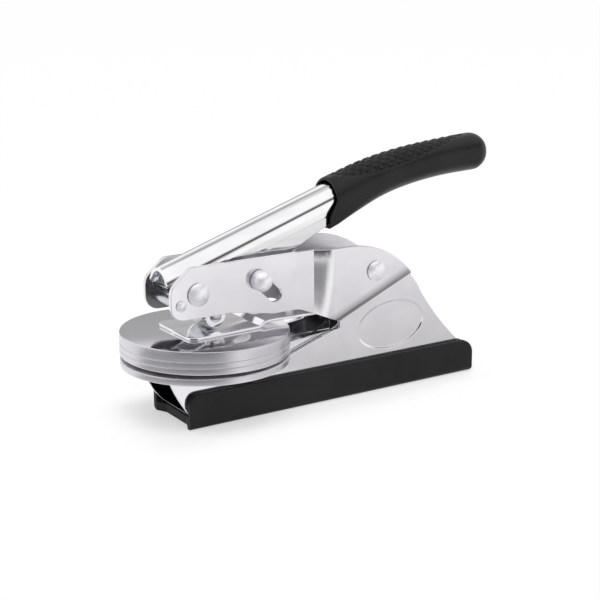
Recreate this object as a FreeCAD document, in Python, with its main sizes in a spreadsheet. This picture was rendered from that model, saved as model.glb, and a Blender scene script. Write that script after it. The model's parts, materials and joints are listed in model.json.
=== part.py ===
import FreeCAD, Part
import math
import os
import Sketcher

# Seal embosser: a hand press for round seal plates.
# Millimetres. The origin is on the table under the axis of the seal plates.
# +X runs to the rear, towards the handle's end; +Y is to the left of that; +Z is up.

os.makedirs("parts", exist_ok=True)
doc = FreeCAD.newDocument("seal_embosser")

drivingSizes = [
    # steel frame: one sheet, bent and joggled
    ("sheet_thickness", 1.5),
    ("channel_half_width", 10.9),
    ("arm_half_width", 9.5),
    ("channel_bend_radius", 4.0),
    ("channel_front_foot", -10.5),
    ("channel_front_bow", -15.7),
    ("channel_front_bow_rise", 7.7),
    ("channel_front_top", -18.6),
    ("channel_rear", 97.2),
    ("channel_rear_radius", 0.7),
    ("wall_top_height", 17.8),
    ("wall_top_end", 25.2),
    ("wall_top_radius", 1.5),
    ("throat_floor_bend_x", 41.5),
    ("throat_floor_bend_height", 23.4),
    ("throat_floor_bend_radius", 4.0),
    ("throat_root_x", 44.4),
    ("throat_floor_height", 23.9),
    ("throat_roof_height", 26.4),
    ("crease_angle", 23.2),
    ("crease_run", 1.6),
    ("rear_slope_top_x", 72.8),
    ("rear_slope_crown_x", 75.6),
    ("rear_slope_crown_height", 35.2),
    ("rear_slope_turn_x", 78.0),
    ("rear_slope_turn_height", 31.1),
    ("rear_slope_middle_x", 85.6),
    ("rear_slope_middle_height", 20.9),
    ("rear_slope_foot_x", 96.5),
    ("rear_slope_foot_height", 9.7),
    ("arm_rise", 8.7),
    ("arm_drop", 7.6),
    ("arm_nose_length", 9.4),
    ("arm_nose_drop", 5.9),
    ("arm_nose_run", 6.8),
    ("arm_nose_top_radius", 3.5),
    ("arm_nose_radius", 5.0),
    ("arm_chin_radius", 4.5),
    ("arm_bend_start", 35.2),
    ("arm_bend_run", 3.5),
    ("arm_belly_x", 5.0),
    ("arm_belly_radius", 20.0),
    ("arm_arch_start", 20.0),
    ("arm_arch_drop", 10.2),
    ("arm_arch_end", 29.5),
    ("arm_arch_front_radius", 12.0),
    ("arm_arch_rear_radius", 6.0),
    ("cheek_start", 40.9),
    ("cheek_lap", 1.2),
    ("cheek_curve_start", 48.0),
    ("cheek_curve_middle_x", 61.0),
    ("cheek_curve_middle_drop", 2.9),
    ("cheek_rear", 71.3),
    ("cheek_rear_height", 40.6),
    ("coin_x", 65.2),
    ("coin_height", 21.9),
    ("coin_half_length", 13.8),
    ("coin_half_height", 8.2),
    ("coin_tilt", 4.0),
    ("coin_relief", 0.3),
    # rubber boot
    ("boot_wall", 2.0),
    ("boot_floor", 3.0),
    ("boot_height", 11.6),
    ("boot_front", -12.6),
    ("boot_rear", 99.6),
    ("boot_front_radius", 3.5),
    ("boot_rear_radius", 5.0),
    ("boot_bay_depth", 1.7),
    ("boot_bay_radius", 3.0),
    ("boot_lip_radius", 2.0),
    ("boot_sole_radius", 1.6),
    # rivets through the frame
    ("pivot_x", -7.0),
    ("pivot_height", 42.4),
    ("pivot_radius", 2.5),
    ("pivot_head_radius", 3.65),
    ("pivot_head_height", 1.9),
    ("nose_reach", 6.0),
    ("nose_drop", 2.9),
    ("nose_radius", 1.0),
    ("nose_head_radius", 1.7),
    ("nose_head_height", 0.8),
    ("nose_spacer_radius", 1.5),
    ("rear_rivet_x", 57.7),
    ("rear_rivet_drop", 9.3),
    ("rear_rivet_radius", 2.2),
    ("rear_head_radius", 3.4),
    ("rear_head_height", 1.8),
    ("rear_spacer_radius", 3.3),
    ("fit_gap", 0.05),
    ("running_gap", 0.3),
    # seal plates, in the closed press
    ("disc_radius", 27.0),
    ("lower_disc_thickness", 2.2),
    ("paper_gap", 0.15),
    ("die_thickness", 2.0),
    ("backing_thickness", 1.8),
    ("upper_disc_thickness", 3.5),
    ("disc_edge_chamfer", 0.25),
    ("die_radius", 23.0),
    ("die_insert_depth", 1.0),
    ("dowel_radius", 1.5),
    ("dowel_spacing", 20.0),
    # strips that carry the plates, and their hinge
    ("strip_thickness", 1.0),
    ("upper_strip_front", -11.6),
    ("lower_strip_front", -13.6),
    ("plate_front_half_width", 12.4),
    ("plate_rear_half_width", 9.6),
    ("plate_corner_radius", 3.2),
    ("plate_neck_radius", 3.0),
    ("plate_end", 14.3),
    ("neck_start", 20.5),
    ("neck_half_width", 7.4),
    ("joggle_start", 14.5),
    ("joggle_run", 3.0),
    ("joggle_height", 1.0),
    ("joggle_end", 43.2),
    ("lower_strip_half_width", 9.1),
    ("lower_strip_corner_radius", 2.0),
    ("flange_front_radius", 0.8),
    ("flange_rear_radius", 3.0),
    ("flange_front_height", 21.3),
    ("flange_rear_height", 23.1),
    ("flange_rear_x", 42.0),
    ("hinge_x", 50.0),
    ("hinge_pin_radius", 1.45),
    ("hinge_eye_radius", 2.6),
    ("hinge_ear_radius", 3.0),
    ("hinge_eye_gap_reach", 4.4),
    ("jaw_open_angle", 0.95),
    ("spring_wire_radius", 0.35),
    ("spring_coil_radius", 2.1),
    ("spring_half_width", 3.2),
    ("spring_whole_turns", 4),
    ("spring_lower_leg_angle", 30.0),
    ("spring_lower_leg_length", 11.5),
    ("spring_upper_leg_angle", 14.0),
    ("spring_upper_leg_length", 8.0),
    # lever
    ("lever_wall", 1.2),
    ("lever_half_width", 6.3),
    ("lever_angle", 18.2),
    ("lever_nose_reach", 8.8),
    ("lever_nose_rise", 7.8),
    ("lever_edge_slope", 26.6),
    ("lever_edge_reach", 35.8),
    ("lever_edge_rise", 8.4),
    ("lever_hidden_length", 13.2),
    ("lever_shoulder_reach", 10.4),
    ("lever_shoulder_radius", 4.0),
    ("lever_lip_rise", 2.4),
    ("lever_throat_rise", 1.0),
    ("lever_chin_reach", 3.4),
    ("lever_chin_drop", 2.7),
    ("lever_nose_radius", 1.5),
    ("lever_chin_radius", 2.0),
    ("lever_stroke", 8.5),
    ("pivot_lobe_radius", 4.5),
    ("bush_radius", 3.8),
    ("washer_radius", 4.2),
    ("roller_reach", 7.6),
    ("roller_radius", 4.0),
    ("roller_axle_radius", 1.6),
    ("roller_head_radius", 1.9),
    ("roller_head_height", 0.6),
    ("roller_lobe_radius", 3.6),
    # grip and the tang inside it
    ("grip_start_x", 44.8),
    ("grip_centre_drop", 7.8),
    ("grip_start_lift", 2.3),
    ("grip_straight_length", 14.0),
    ("grip_bend_radius", 141.0),
    ("grip_bend_angle", 17.5),
    ("grip_tail_length", 12.3),
    ("grip_half_width", 6.4),
    ("grip_front_swell", 1.0),
    ("grip_top", 6.1),
    ("grip_front_rise", 2.1),
    ("grip_bottom", 6.7),
    ("grip_front_tuck", 1.0),
    ("grip_swell_length", 54.0),
    ("grip_corner_radius", 5.9),
    ("grip_front_corner_radius", 1.0),
    ("grip_corner_length", 30.0),
    ("grip_end_radius", 5.8),
    ("grip_brow_reach", 1.2),
    ("grip_brow_rise", 4.2),
    ("grip_chin_reach", 1.8),
    ("grip_chin_drop", 2.8),
    ("grip_front_rounding", 4.0),
    ("grip_mouth_gap", 0.5),
    ("grip_mouth_end", 52.0),
    ("tang_half_width", 5.3),
    ("tang_half_height", 2.8),
    ("tang_tail_length", 5.0),
    ("grip_bore_gap", 0.15),
    # lock pin in its slanted slots
    ("lock_reach", 21.7),
    ("lock_rise", 1.7),
    ("lock_run", 5.8),
    ("lock_drop", 5.6),
    ("lock_pin_radius", 2.2),
    ("lock_slot_half_width", 2.5),
    ("lock_knob_radius", 3.4),
    ("lock_knob_dome", 2.4),
    ("lock_knob_start", 9.8),
    ("lock_knob_end", 14.4),
    ("lock_knob_wall", 1.2),
    ("lock_knob_foot", 0.6),
]

sheet = doc.addObject("Spreadsheet::Sheet", "sizes")
for row, (alias, number) in enumerate(drivingSizes, start=1):
    sheet.set("A%d" % row, alias)
    sheet.set("B%d" % row, str(number))
    sheet.setAlias("B%d" % row, alias)
doc.recompute()


def size(alias):
    return float(sheet.get(alias))


def vector(x, y, z):
    return FreeCAD.Vector(x, y, z)


acrossY = vector(0, 1, 0)
headShoulderShare = 0.25    # upright rim of a rivet head, as a share of the head's height
foldRadius = 0.4            # inside radius of the frame's sharp folds
lapShare = 1.2              # how far the cheeks lap over the channel, in sheet thicknesses
domeBands = 3               # cone bands that make up a domed head
springChordsPerTurn = 12
gripStations = 5            # ruled stretches of the grip along its bend
mitredCorners = 1           # makePipeShell's word for corners that are cut to meet
finishedParts = []


# ---------------------------------------------------------------- sketch helpers

def filletPoints(before, corner, after, radius):
    """Start, middle and end of the arc that rounds a corner between two straight edges."""
    toBefore = (before - corner).normalize()
    toAfter = (after - corner).normalize()
    halfAngle = toBefore.getAngle(toAfter) / 2
    tangentLength = radius / math.tan(halfAngle)
    middleDirection = (toBefore + toAfter).normalize()
    middleLength = radius / math.sin(halfAngle) - radius
    start = corner + toBefore * tangentLength
    end = corner + toAfter * tangentLength
    return start, corner + middleDirection * middleLength, end


def drawOutline(sketch, corners):
    """Draw a closed outline. A corner is (x, y), or (x, y, radius) to round it,
    or ("via", x, y) for a point on the arc between the corners before and after it."""
    points = []
    vias = {}
    for corner in corners:
        if corner[0] == "via":
            vias[len(points) - 1] = vector(corner[1], corner[2], 0)
        else:
            radius = corner[2] if len(corner) > 2 else 0
            points.append((vector(corner[0], corner[1], 0), radius))
    count = len(points)
    entries = []
    for number, (corner, radius) in enumerate(points):
        if radius:
            before = points[number - 1][0]
            after = points[(number + 1) % count][0]
            entries.append(filletPoints(before, corner, after, radius))
        else:
            entries.append((corner, None, corner))
    for number, (start, middle, end) in enumerate(entries):
        if middle is not None:
            sketch.addGeometry(Part.Arc(start, middle, end), False)
        following = entries[(number + 1) % count][0]
        if number in vias:
            sketch.addGeometry(Part.Arc(end, vias[number], following), False)
        elif end.distanceToPoint(following) > 1e-6:
            sketch.addGeometry(Part.LineSegment(end, following), False)


def addCircle(sketch, x, y, radiusExpression):
    """Add a circle whose radius is bound to the sheet."""
    startRadius = 1.0
    circle = Part.Circle(vector(x, y, 0), vector(0, 0, 1), startRadius)
    index = sketch.addGeometry(circle, False)
    constraint = sketch.addConstraint(Sketcher.Constraint("Radius", index, startRadius))
    name = "radius%d" % index
    sketch.renameConstraint(constraint, name)
    sketch.setExpression("Constraints." + name, radiusExpression)


def rectangle(left, bottom, right, top):
    return [(left, bottom), (right, bottom), (right, top), (left, top)]


# ---------------------------------------------------------------- PartDesign helpers

def newBody(name):
    body = doc.addObject("PartDesign::Body", name)
    body.Label = name
    finishedParts.append(body)
    return body


def originPlane(body, role):
    for feature in body.Origin.OriginFeatures:
        if feature.Role == role:
            return feature
    raise ValueError(role)


def newSketch(body, role, offset=0.0):
    """A sketch on one of the body's own planes. On XZ_Plane its normal is -Y, on YZ_Plane +X."""
    sketch = body.newObject("Sketcher::SketchObject", body.Name + "_sketch")
    sketch.AttachmentSupport = [(originPlane(body, role), "")]
    sketch.MapMode = "FlatFace"
    sketch.AttachmentOffset = FreeCAD.Placement(vector(0, 0, offset), FreeCAD.Rotation())
    return sketch


def pad(body, sketch, lengthExpression, midplane=False, reverse=False):
    feature = body.newObject("PartDesign::Pad", body.Name + "_pad")
    feature.Profile = sketch
    feature.setExpression("Length", lengthExpression)
    feature.Midplane = midplane
    feature.Reversed = reverse
    doc.recompute()
    return feature


def pocket(body, sketch, lengthExpression, midplane=False, reverse=False):
    """Cut the sketch out of the body, and make sure that it cut something."""
    volumeBefore = body.Shape.Volume
    feature = body.newObject("PartDesign::Pocket", body.Name + "_pocket")
    feature.Profile = sketch
    feature.setExpression("Length", lengthExpression)
    feature.Midplane = midplane
    feature.Reversed = reverse
    doc.recompute()
    if body.Shape.Volume > volumeBefore - 1e-3:
        raise RuntimeError(feature.Name + " cuts nothing")
    return feature


def chamferEdges(body, feature, edgeNames, sizeExpression):
    chamfer = body.newObject("PartDesign::Chamfer", body.Name + "_chamfer")
    chamfer.Base = (feature, edgeNames)
    chamfer.setExpression("Size", sizeExpression)
    doc.recompute()
    return chamfer


def roundEdges(feature, radius):
    """Names of the circular edges of a feature that have the given radius."""
    names = []
    for number, edge in enumerate(feature.Shape.Edges, start=1):
        isCircle = isinstance(edge.Curve, Part.Circle)
        if isCircle and abs(edge.Curve.Radius - radius) < 1e-4:
            names.append("Edge%d" % number)
    return names


def turnedPiece(name, x, height, profile):
    """A piece turned about an axis along Y through (x, height). The profile's
    points are (distance from the axis, y)."""
    body = newBody(name)
    sketch = newSketch(body, "XY_Plane")
    drawOutline(sketch, profile)
    revolution = body.newObject("PartDesign::Revolution", name + "_revolution")
    revolution.Profile = sketch
    revolution.ReferenceAxis = (sketch, ["V_Axis"])
    revolution.Angle = 360
    body.Placement.Base = vector(x, 0, height)
    doc.recompute()
    return body


def domePoints(radius, height):
    """Points down a spherical cap in even steps: distance from the axis, and drop from the top."""
    sphereRadius = (radius ** 2 + height ** 2) / (2 * height)
    halfAngle = math.asin(radius / sphereRadius)
    points = []
    for number in range(domeBands + 1):
        angle = halfAngle * number / domeBands
        points.append((sphereRadius * math.sin(angle), sphereRadius * (1 - math.cos(angle))))
    return points


def headedProfile(shankRadius, headRadius, gripHalfLength, headHeight):
    """Half section of a rivet with a low domed head at both ends."""
    tip = gripHalfLength + headHeight
    domeHeight = headHeight * (1 - headShoulderShare)
    dome = [(across, tip - drop) for across, drop in domePoints(headRadius, domeHeight)]
    upper = dome + [(headRadius, gripHalfLength), (shankRadius, gripHalfLength)]
    lower = [(across, -y) for across, y in reversed(upper)]
    return upper + lower


def tubeProfile(innerRadius, outerRadius, fromY, toY):
    return rectangle(innerRadius, fromY, outerRadius, toY)


# ---------------------------------------------------------------- Part helpers

def freeSketch(name, placement, corners):
    sketch = doc.addObject("Sketcher::SketchObject", name)
    sketch.Placement = placement
    drawOutline(sketch, corners)
    return sketch


def extruded(name, sketch, direction, length, symmetric=False):
    """Extrude a sketch into a solid along a direction, by a length or half of it each way."""
    feature = doc.addObject("Part::Extrusion", name)
    feature.Base = sketch
    feature.DirMode = "Custom"
    feature.Dir = direction
    feature.LengthFwd = length
    feature.Solid = True
    feature.Symmetric = symmetric
    return feature


sideView = FreeCAD.Placement(vector(0, 0, 0), FreeCAD.Rotation(vector(1, 0, 0), 90))
frontView = FreeCAD.Placement(vector(0, 0, 0), FreeCAD.Rotation(vector(1, 1, 1), 120))
topView = FreeCAD.Placement()
fullWidth = 60.0
fullLength = 260.0


def sideBlank(name, corners):
    """A solid with the given outline in side view, wider than the whole press."""
    sketch = freeSketch(name + "_outline", sideView, corners)
    return extruded(name, sketch, acrossY, fullWidth, symmetric=True)


def commonOf(name, first, second):
    feature = doc.addObject("Part::Common", name)
    feature.Base = first
    feature.Tool = second
    return feature


def fusionOf(name, pieces):
    feature = doc.addObject("Part::MultiFuse", name)
    feature.Shapes = pieces
    feature.Refine = True
    return feature


def cutFrom(name, base, tool):
    feature = doc.addObject("Part::Cut", name)
    feature.Base = base
    feature.Tool = tool
    feature.Refine = True
    return feature


def mirrored(name, source):
    feature = doc.addObject("Part::Mirroring", name)
    feature.Source = source
    feature.Normal = acrossY
    return feature


def crossHole(name, x, height, radiusExpression):
    """A cylinder along Y, to drill both sides of the press."""
    cylinder = doc.addObject("Part::Cylinder", name)
    cylinder.setExpression("Radius", radiusExpression)
    cylinder.Height = fullWidth
    turn = FreeCAD.Rotation(vector(1, 0, 0), 90)
    cylinder.Placement = FreeCAD.Placement(vector(x, fullWidth / 2, height), turn)
    return cylinder


def finished(feature, label):
    feature.Label = label
    finishedParts.append(feature)
    return feature


# ---------------------------------------------------------------- derived places

pivotX = size("pivot_x")
pivotHeight = size("pivot_height")
noseX = pivotX - size("nose_reach")
noseHeight = pivotHeight - size("nose_drop")
armTop = pivotHeight + size("arm_rise")
armBottom = pivotHeight - size("arm_drop")
armArchHeight = pivotHeight - size("arm_arch_drop")
armFront = pivotX - size("arm_nose_length")
rearRivetHeight = armTop - size("rear_rivet_drop")
lockX = pivotX + size("lock_reach")
lockHeight = pivotHeight + size("lock_rise")
rollerX = pivotX + size("roller_reach")
cheekHalfWidth = size("channel_half_width") + size("sheet_thickness")
channelInside = size("channel_half_width") - size("sheet_thickness")
armInside = size("arm_half_width") - size("sheet_thickness")
lowerDiscTop = size("wall_top_height") + size("lower_disc_thickness")
dieBottom = lowerDiscTop + size("paper_gap")
dieTop = dieBottom + size("die_thickness")
backingTop = dieTop + size("backing_thickness")
upperDiscTop = backingTop + size("upper_disc_thickness")
upperStripTop = upperDiscTop + size("strip_thickness")
hingeHeight = upperStripTop - size("hinge_eye_radius")
openRise = (size("hinge_x") - rollerX) * math.tan(math.radians(size("jaw_open_angle")))
rollerHeight = upperStripTop + openRise + size("roller_radius") + size("running_gap")
lowerStripTop = size("wall_top_height")
lowerStripBottom = lowerStripTop - size("strip_thickness")
cheekStartHeight = size("throat_roof_height") + size("cheek_lap")
creaseAngle = math.radians(size("crease_angle"))
creaseDirection = vector(math.cos(creaseAngle), 0, math.sin(creaseAngle))
creaseNormal = vector(-math.sin(creaseAngle), 0, math.cos(creaseAngle))


def creaseHeight(x):
    """Height of the diagonal crease at x."""
    return size("throat_roof_height") + (x - size("throat_root_x")) * math.tan(creaseAngle)


def openedJaw(body):
    """Turn a piece of the upper jaw about the hinge, from closed to its rest position."""
    turn = FreeCAD.Rotation(acrossY, size("jaw_open_angle"))
    centre = vector(size("hinge_x"), 0, hingeHeight)
    body.Placement = FreeCAD.Placement(vector(0, 0, 0), turn, centre)


# ---------------------------------------------------------------- press frame

def slotOutline(fromX, fromHeight, toX, toHeight, halfWidth):
    """A straight slot with round ends, in side view."""
    start = vector(fromX, fromHeight, 0)
    end = vector(toX, toHeight, 0)
    along = (end - start).normalize()
    side = vector(-along.y, along.x, 0) * halfWidth
    cap = along * halfWidth
    leftStart = start + side
    rightStart = start - side
    leftEnd = end + side
    rightEnd = end - side
    return [
        (leftStart.x, leftStart.y), ("via", (start - cap).x, (start - cap).y),
        (rightStart.x, rightStart.y), (rightEnd.x, rightEnd.y),
        ("via", (end + cap).x, (end + cap).y), (leftEnd.x, leftEnd.y),
    ]


def coinedOval():
    """A bare oval pad, coined a little proud of the near wall of the channel."""
    pad = doc.addObject("Sketcher::SketchObject", "coin_outline")
    wall = size("channel_half_width") - size("sheet_thickness") / 2
    pad.Placement = FreeCAD.Placement(
        vector(size("coin_x"), -wall, size("coin_height")), sideView.Rotation)
    tilt = math.radians(size("coin_tilt"))
    longEnd = vector(math.cos(tilt), math.sin(tilt), 0) * size("coin_half_length")
    shortEnd = vector(-math.sin(tilt), math.cos(tilt), 0) * size("coin_half_height")
    pad.addGeometry(Part.Ellipse(longEnd, shortEnd, vector(0, 0, 0)), False)
    height = size("sheet_thickness") / 2 + size("coin_relief")
    return extruded("coin", pad, vector(0, -1, 0), height)


def makePressFrame():
    """One sheet: a channel below, a diagonal joggle out to the cheeks, and a joggle in to the arms."""
    thickness = size("sheet_thickness")
    half = size("channel_half_width")
    inner = channelInside
    bend = size("channel_bend_radius")
    floor = size("boot_floor")
    high = armTop
    channelSection = [
        (-half, high), (-half, floor, bend), (half, floor, bend), (half, high),
        (inner, high), (inner, floor + thickness, bend - thickness),
        (-inner, floor + thickness, bend - thickness), (-inner, high),
    ]
    sectionSketch = freeSketch("channel_section", frontView, channelSection)
    channelBar = extruded("channel_bar", sectionSketch, vector(1, 0, 0), fullLength, symmetric=True)
    slopeTop = (size("rear_slope_top_x"), creaseHeight(size("rear_slope_top_x")))
    channelOutline = [
        (size("channel_front_foot"), floor),
        ("via", size("channel_front_bow"), floor + size("channel_front_bow_rise")),
        (size("channel_front_top"), size("wall_top_height")),
        (size("wall_top_end"), size("wall_top_height"), size("wall_top_radius")),
        (size("throat_floor_bend_x"), size("throat_floor_bend_height"), size("throat_floor_bend_radius")),
        (size("throat_root_x"), size("throat_floor_height")),
        (size("throat_root_x"), size("throat_roof_height")),
        slopeTop,
        ("via", size("rear_slope_crown_x"), size("rear_slope_crown_height")),
        (size("rear_slope_turn_x"), size("rear_slope_turn_height")),
        ("via", size("rear_slope_middle_x"), size("rear_slope_middle_height")),
        (size("rear_slope_foot_x"), size("rear_slope_foot_height")),
        (size("channel_rear"), size("rear_slope_foot_height") - thickness, size("channel_rear_radius")),
        (size("channel_rear"), floor),
    ]
    channel = commonOf("channel", channelBar, sideBlank("channel_blank", channelOutline))

    outer = cheekHalfWidth
    run = size("crease_run")
    reach = fullWidth
    outsideFold = foldRadius + thickness
    creaseSection = [
        (-reach, -half), (0, -half, foldRadius), (run, -outer, outsideFold), (reach, -outer),
        (reach, -outer + thickness), (run, -outer + thickness, foldRadius),
        (0, -half + thickness, outsideFold), (-reach, -half + thickness),
    ]
    across = creaseNormal.cross(acrossY)
    creaseTurn = FreeCAD.Rotation(creaseNormal, acrossY, across, "XYZ")
    creaseBase = vector(size("throat_root_x"), 0, size("throat_roof_height"))
    creasePlace = FreeCAD.Placement(creaseBase, creaseTurn)
    creaseSketch = freeSketch("crease_section", creasePlace, creaseSection)
    creaseSheet = extruded("crease_sheet", creaseSketch, creaseDirection, fullLength, symmetric=True)
    lapDrop = thickness * lapShare
    rearPanelOutline = [
        (size("cheek_start"), armTop),
        (size("cheek_start"), cheekStartHeight),
        (size("throat_root_x"), size("throat_roof_height")),
        (size("throat_root_x"), size("throat_roof_height") - lapDrop),
        (slopeTop[0] - lapDrop, slopeTop[1] - 2 * lapDrop),
        slopeTop,
        (size("cheek_rear"), size("cheek_rear_height")),
        ("via", size("cheek_curve_middle_x"), armTop - size("cheek_curve_middle_drop")),
        (size("cheek_curve_start"), armTop),
    ]
    rearPanel = commonOf("rear_panel", creaseSheet, sideBlank("rear_blank", rearPanelOutline))

    arm = size("arm_half_width")
    bendStart = size("arm_bend_start")
    bendEnd = bendStart + size("arm_bend_run")
    sheetFront = armFront - thickness
    armSection = [
        (sheetFront, -arm), (bendStart, -arm, foldRadius), (bendEnd, -outer, outsideFold),
        (size("cheek_start"), -outer), (size("cheek_start"), -outer + thickness),
        (bendEnd, -outer + thickness, foldRadius), (bendStart, -arm + thickness, outsideFold),
        (sheetFront, -arm + thickness),
    ]
    armSketch = freeSketch("arm_section", topView, armSection)
    armSheet = extruded("arm_sheet", armSketch, vector(0, 0, 1), fullWidth)
    armOutline = [
        (armFront + size("arm_nose_run"), armTop, size("arm_nose_top_radius")),
        (armFront, armTop - size("arm_nose_drop"), size("arm_nose_radius")),
        (armFront, armBottom, size("arm_chin_radius")),
        (size("arm_belly_x"), armBottom, size("arm_belly_radius")),
        (size("arm_arch_start"), armArchHeight, size("arm_arch_front_radius")),
        (size("arm_arch_end"), armArchHeight, size("arm_arch_rear_radius")),
        (size("cheek_start"), cheekStartHeight), (size("cheek_start"), armTop),
    ]
    armPlate = commonOf("arm_plate", armSheet, sideBlank("arm_blank", armOutline))

    nearSide = fusionOf("near_side", [rearPanel, armPlate, coinedOval()])
    farSide = mirrored("far_side", nearSide)
    folded = fusionOf("folded_sheet", [channel, nearSide, farSide])
    slotSketch = freeSketch("lock_slot_outline", sideView, slotOutline(
        lockX, lockHeight, lockX + size("lock_run"), lockHeight - size("lock_drop"),
        size("lock_slot_half_width")))
    openings = fusionOf("frame_openings", [
        crossHole("pivot_hole", pivotX, pivotHeight, "sizes.pivot_radius + sizes.fit_gap"),
        crossHole("nose_hole", noseX, noseHeight, "sizes.nose_radius + sizes.fit_gap"),
        crossHole("rear_hole", size("rear_rivet_x"), rearRivetHeight,
                  "sizes.rear_rivet_radius + sizes.fit_gap"),
        extruded("lock_slots", slotSketch, acrossY, fullWidth, symmetric=True),
    ])
    finished(cutFrom("press_frame_sheet", folded, openings), "press_frame")


# ---------------------------------------------------------------- rubber boot

def lowEdgesAlongX(feature):
    """Names of the straight edges that lie on the table and run along X."""
    names = []
    for number, edge in enumerate(feature.Shape.Edges, start=1):
        box = edge.BoundBox
        if box.ZMax < 1e-6 and box.YLength < 1e-6:
            names.append("Edge%d" % number)
    return names


def makeRubberBoot():
    """A rubber shoe round the channel's foot, closed behind and open in front."""
    body = newBody("rubber_boot")
    front = size("boot_front")
    rear = size("boot_rear")
    height = size("boot_height")
    outer = size("channel_half_width") + size("boot_wall")
    inner = size("channel_half_width")
    profile = newSketch(body, "XZ_Plane")
    drawOutline(profile, [
        (front, 0), (rear, 0), (rear, height, size("boot_rear_radius")),
        (front, height, size("boot_front_radius")),
    ])
    block = pad(body, profile, "2 * (sizes.channel_half_width + sizes.boot_wall)", midplane=True)
    sole = body.newObject("PartDesign::Fillet", "rubber_boot_sole")
    sole.Base = (block, lowEdgesAlongX(block))
    sole.setExpression("Radius", "sizes.boot_sole_radius")
    doc.recompute()
    cavity = newSketch(body, "XY_Plane", size("boot_floor"))
    drawOutline(cavity, rectangle(front - 1, -inner, rear - size("boot_wall"), inner))
    pocket(body, cavity, "sizes.boot_height", reverse=True)
    bay = newSketch(body, "XY_Plane", -1.0)
    deep = front + size("boot_bay_depth")
    lip = outer - size("boot_wall")
    shoulder = outer - 3 * size("boot_wall")
    lipRound = size("boot_lip_radius")
    bayRound = size("boot_bay_radius")
    drawOutline(bay, [
        (front - 1, lip), (front, lip, lipRound), (deep, shoulder, bayRound),
        (deep, -shoulder, bayRound), (front, -lip, lipRound), (front - 1, -lip),
    ])
    pocket(body, bay, "sizes.boot_height + 2", reverse=True)


# ---------------------------------------------------------------- rivets and spacers

def makeFrameRivets():
    arm = size("arm_half_width")
    turnedPiece("pivot_rivet", pivotX, pivotHeight, headedProfile(
        size("pivot_radius"), size("pivot_head_radius"), arm, size("pivot_head_height")))
    turnedPiece("nose_rivet", noseX, noseHeight, headedProfile(
        size("nose_radius"), size("nose_head_radius"), arm, size("nose_head_height")))
    turnedPiece("rear_rivet", size("rear_rivet_x"), rearRivetHeight, headedProfile(
        size("rear_rivet_radius"), size("rear_head_radius"), cheekHalfWidth, size("rear_head_height")))
    turnedPiece("nose_spacer", noseX, noseHeight, tubeProfile(
        size("nose_radius") + size("fit_gap"), size("nose_spacer_radius"), -armInside, armInside))
    cheekInside = cheekHalfWidth - size("sheet_thickness")
    turnedPiece("rear_spacer", size("rear_rivet_x"), rearRivetHeight, tubeProfile(
        size("rear_rivet_radius") + size("fit_gap"), size("rear_spacer_radius"), -cheekInside, cheekInside))


def turnedPair(name, x, height, profile):
    """The same turned piece on both sides of the press, as one node of two solids."""
    sketch = freeSketch(name + "_profile", topView, profile)
    turned = doc.addObject("Part::Revolution", name + "_left")
    turned.Source = sketch
    turned.Axis = acrossY
    turned.Angle = 360
    turned.Solid = True
    other = mirrored(name + "_right", turned)
    pair = doc.addObject("Part::Compound", name + "_pair")
    pair.Links = [turned, other]
    pair.Placement.Base = vector(x, 0, height)
    return finished(pair, name)


# ---------------------------------------------------------------- seal plates

def makeDisc(name, bottom, thicknessAlias):
    """A round plate with chamfered rims, bored for the dowels."""
    body = newBody(name)
    sketch = newSketch(body, "XY_Plane", bottom)
    addCircle(sketch, 0, 0, "sizes.disc_radius")
    for side in (-1, 1):
        addCircle(sketch, side * size("dowel_spacing") / 2, 0, "sizes.dowel_radius + sizes.fit_gap")
    plate = pad(body, sketch, "sizes." + thicknessAlias)
    chamferEdges(body, plate, roundEdges(plate, size("disc_radius")), "sizes.disc_edge_chamfer")
    return body


def makeSealPlates():
    lowerDisc = makeDisc("lower_disc", size("wall_top_height"), "lower_disc_thickness")
    recess = newSketch(lowerDisc, "XY_Plane", lowerDiscTop)
    addCircle(recess, 0, 0, "sizes.die_radius + sizes.fit_gap")
    pocket(lowerDisc, recess, "sizes.die_insert_depth")

    lowerDie = newBody("lower_die")
    dieSketch = newSketch(lowerDie, "XY_Plane", lowerDiscTop - size("die_insert_depth"))
    addCircle(dieSketch, 0, 0, "sizes.die_radius")
    pad(lowerDie, dieSketch, "sizes.die_insert_depth")

    for name, bottom, thickness in (
            ("upper_die", dieBottom, "die_thickness"),
            ("backing_plate", dieTop, "backing_thickness"),
            ("upper_disc", backingTop, "upper_disc_thickness")):
        openedJaw(makeDisc(name, bottom, thickness))


def makeDowelPair(name, bottom, top, opened):
    pins = []
    for side, word in ((-1, "front"), (1, "rear")):
        pin = doc.addObject("Part::Cylinder", name + "_" + word)
        pin.setExpression("Radius", "sizes.dowel_radius")
        pin.Height = top - bottom
        pin.Placement.Base = vector(side * size("dowel_spacing") / 2, 0, bottom)
        pins.append(pin)
    pair = doc.addObject("Part::Compound", name + "_pair")
    pair.Links = pins
    if opened:
        openedJaw(pair)
    finished(pair, name)


# ---------------------------------------------------------------- strips of the two jaws

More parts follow.
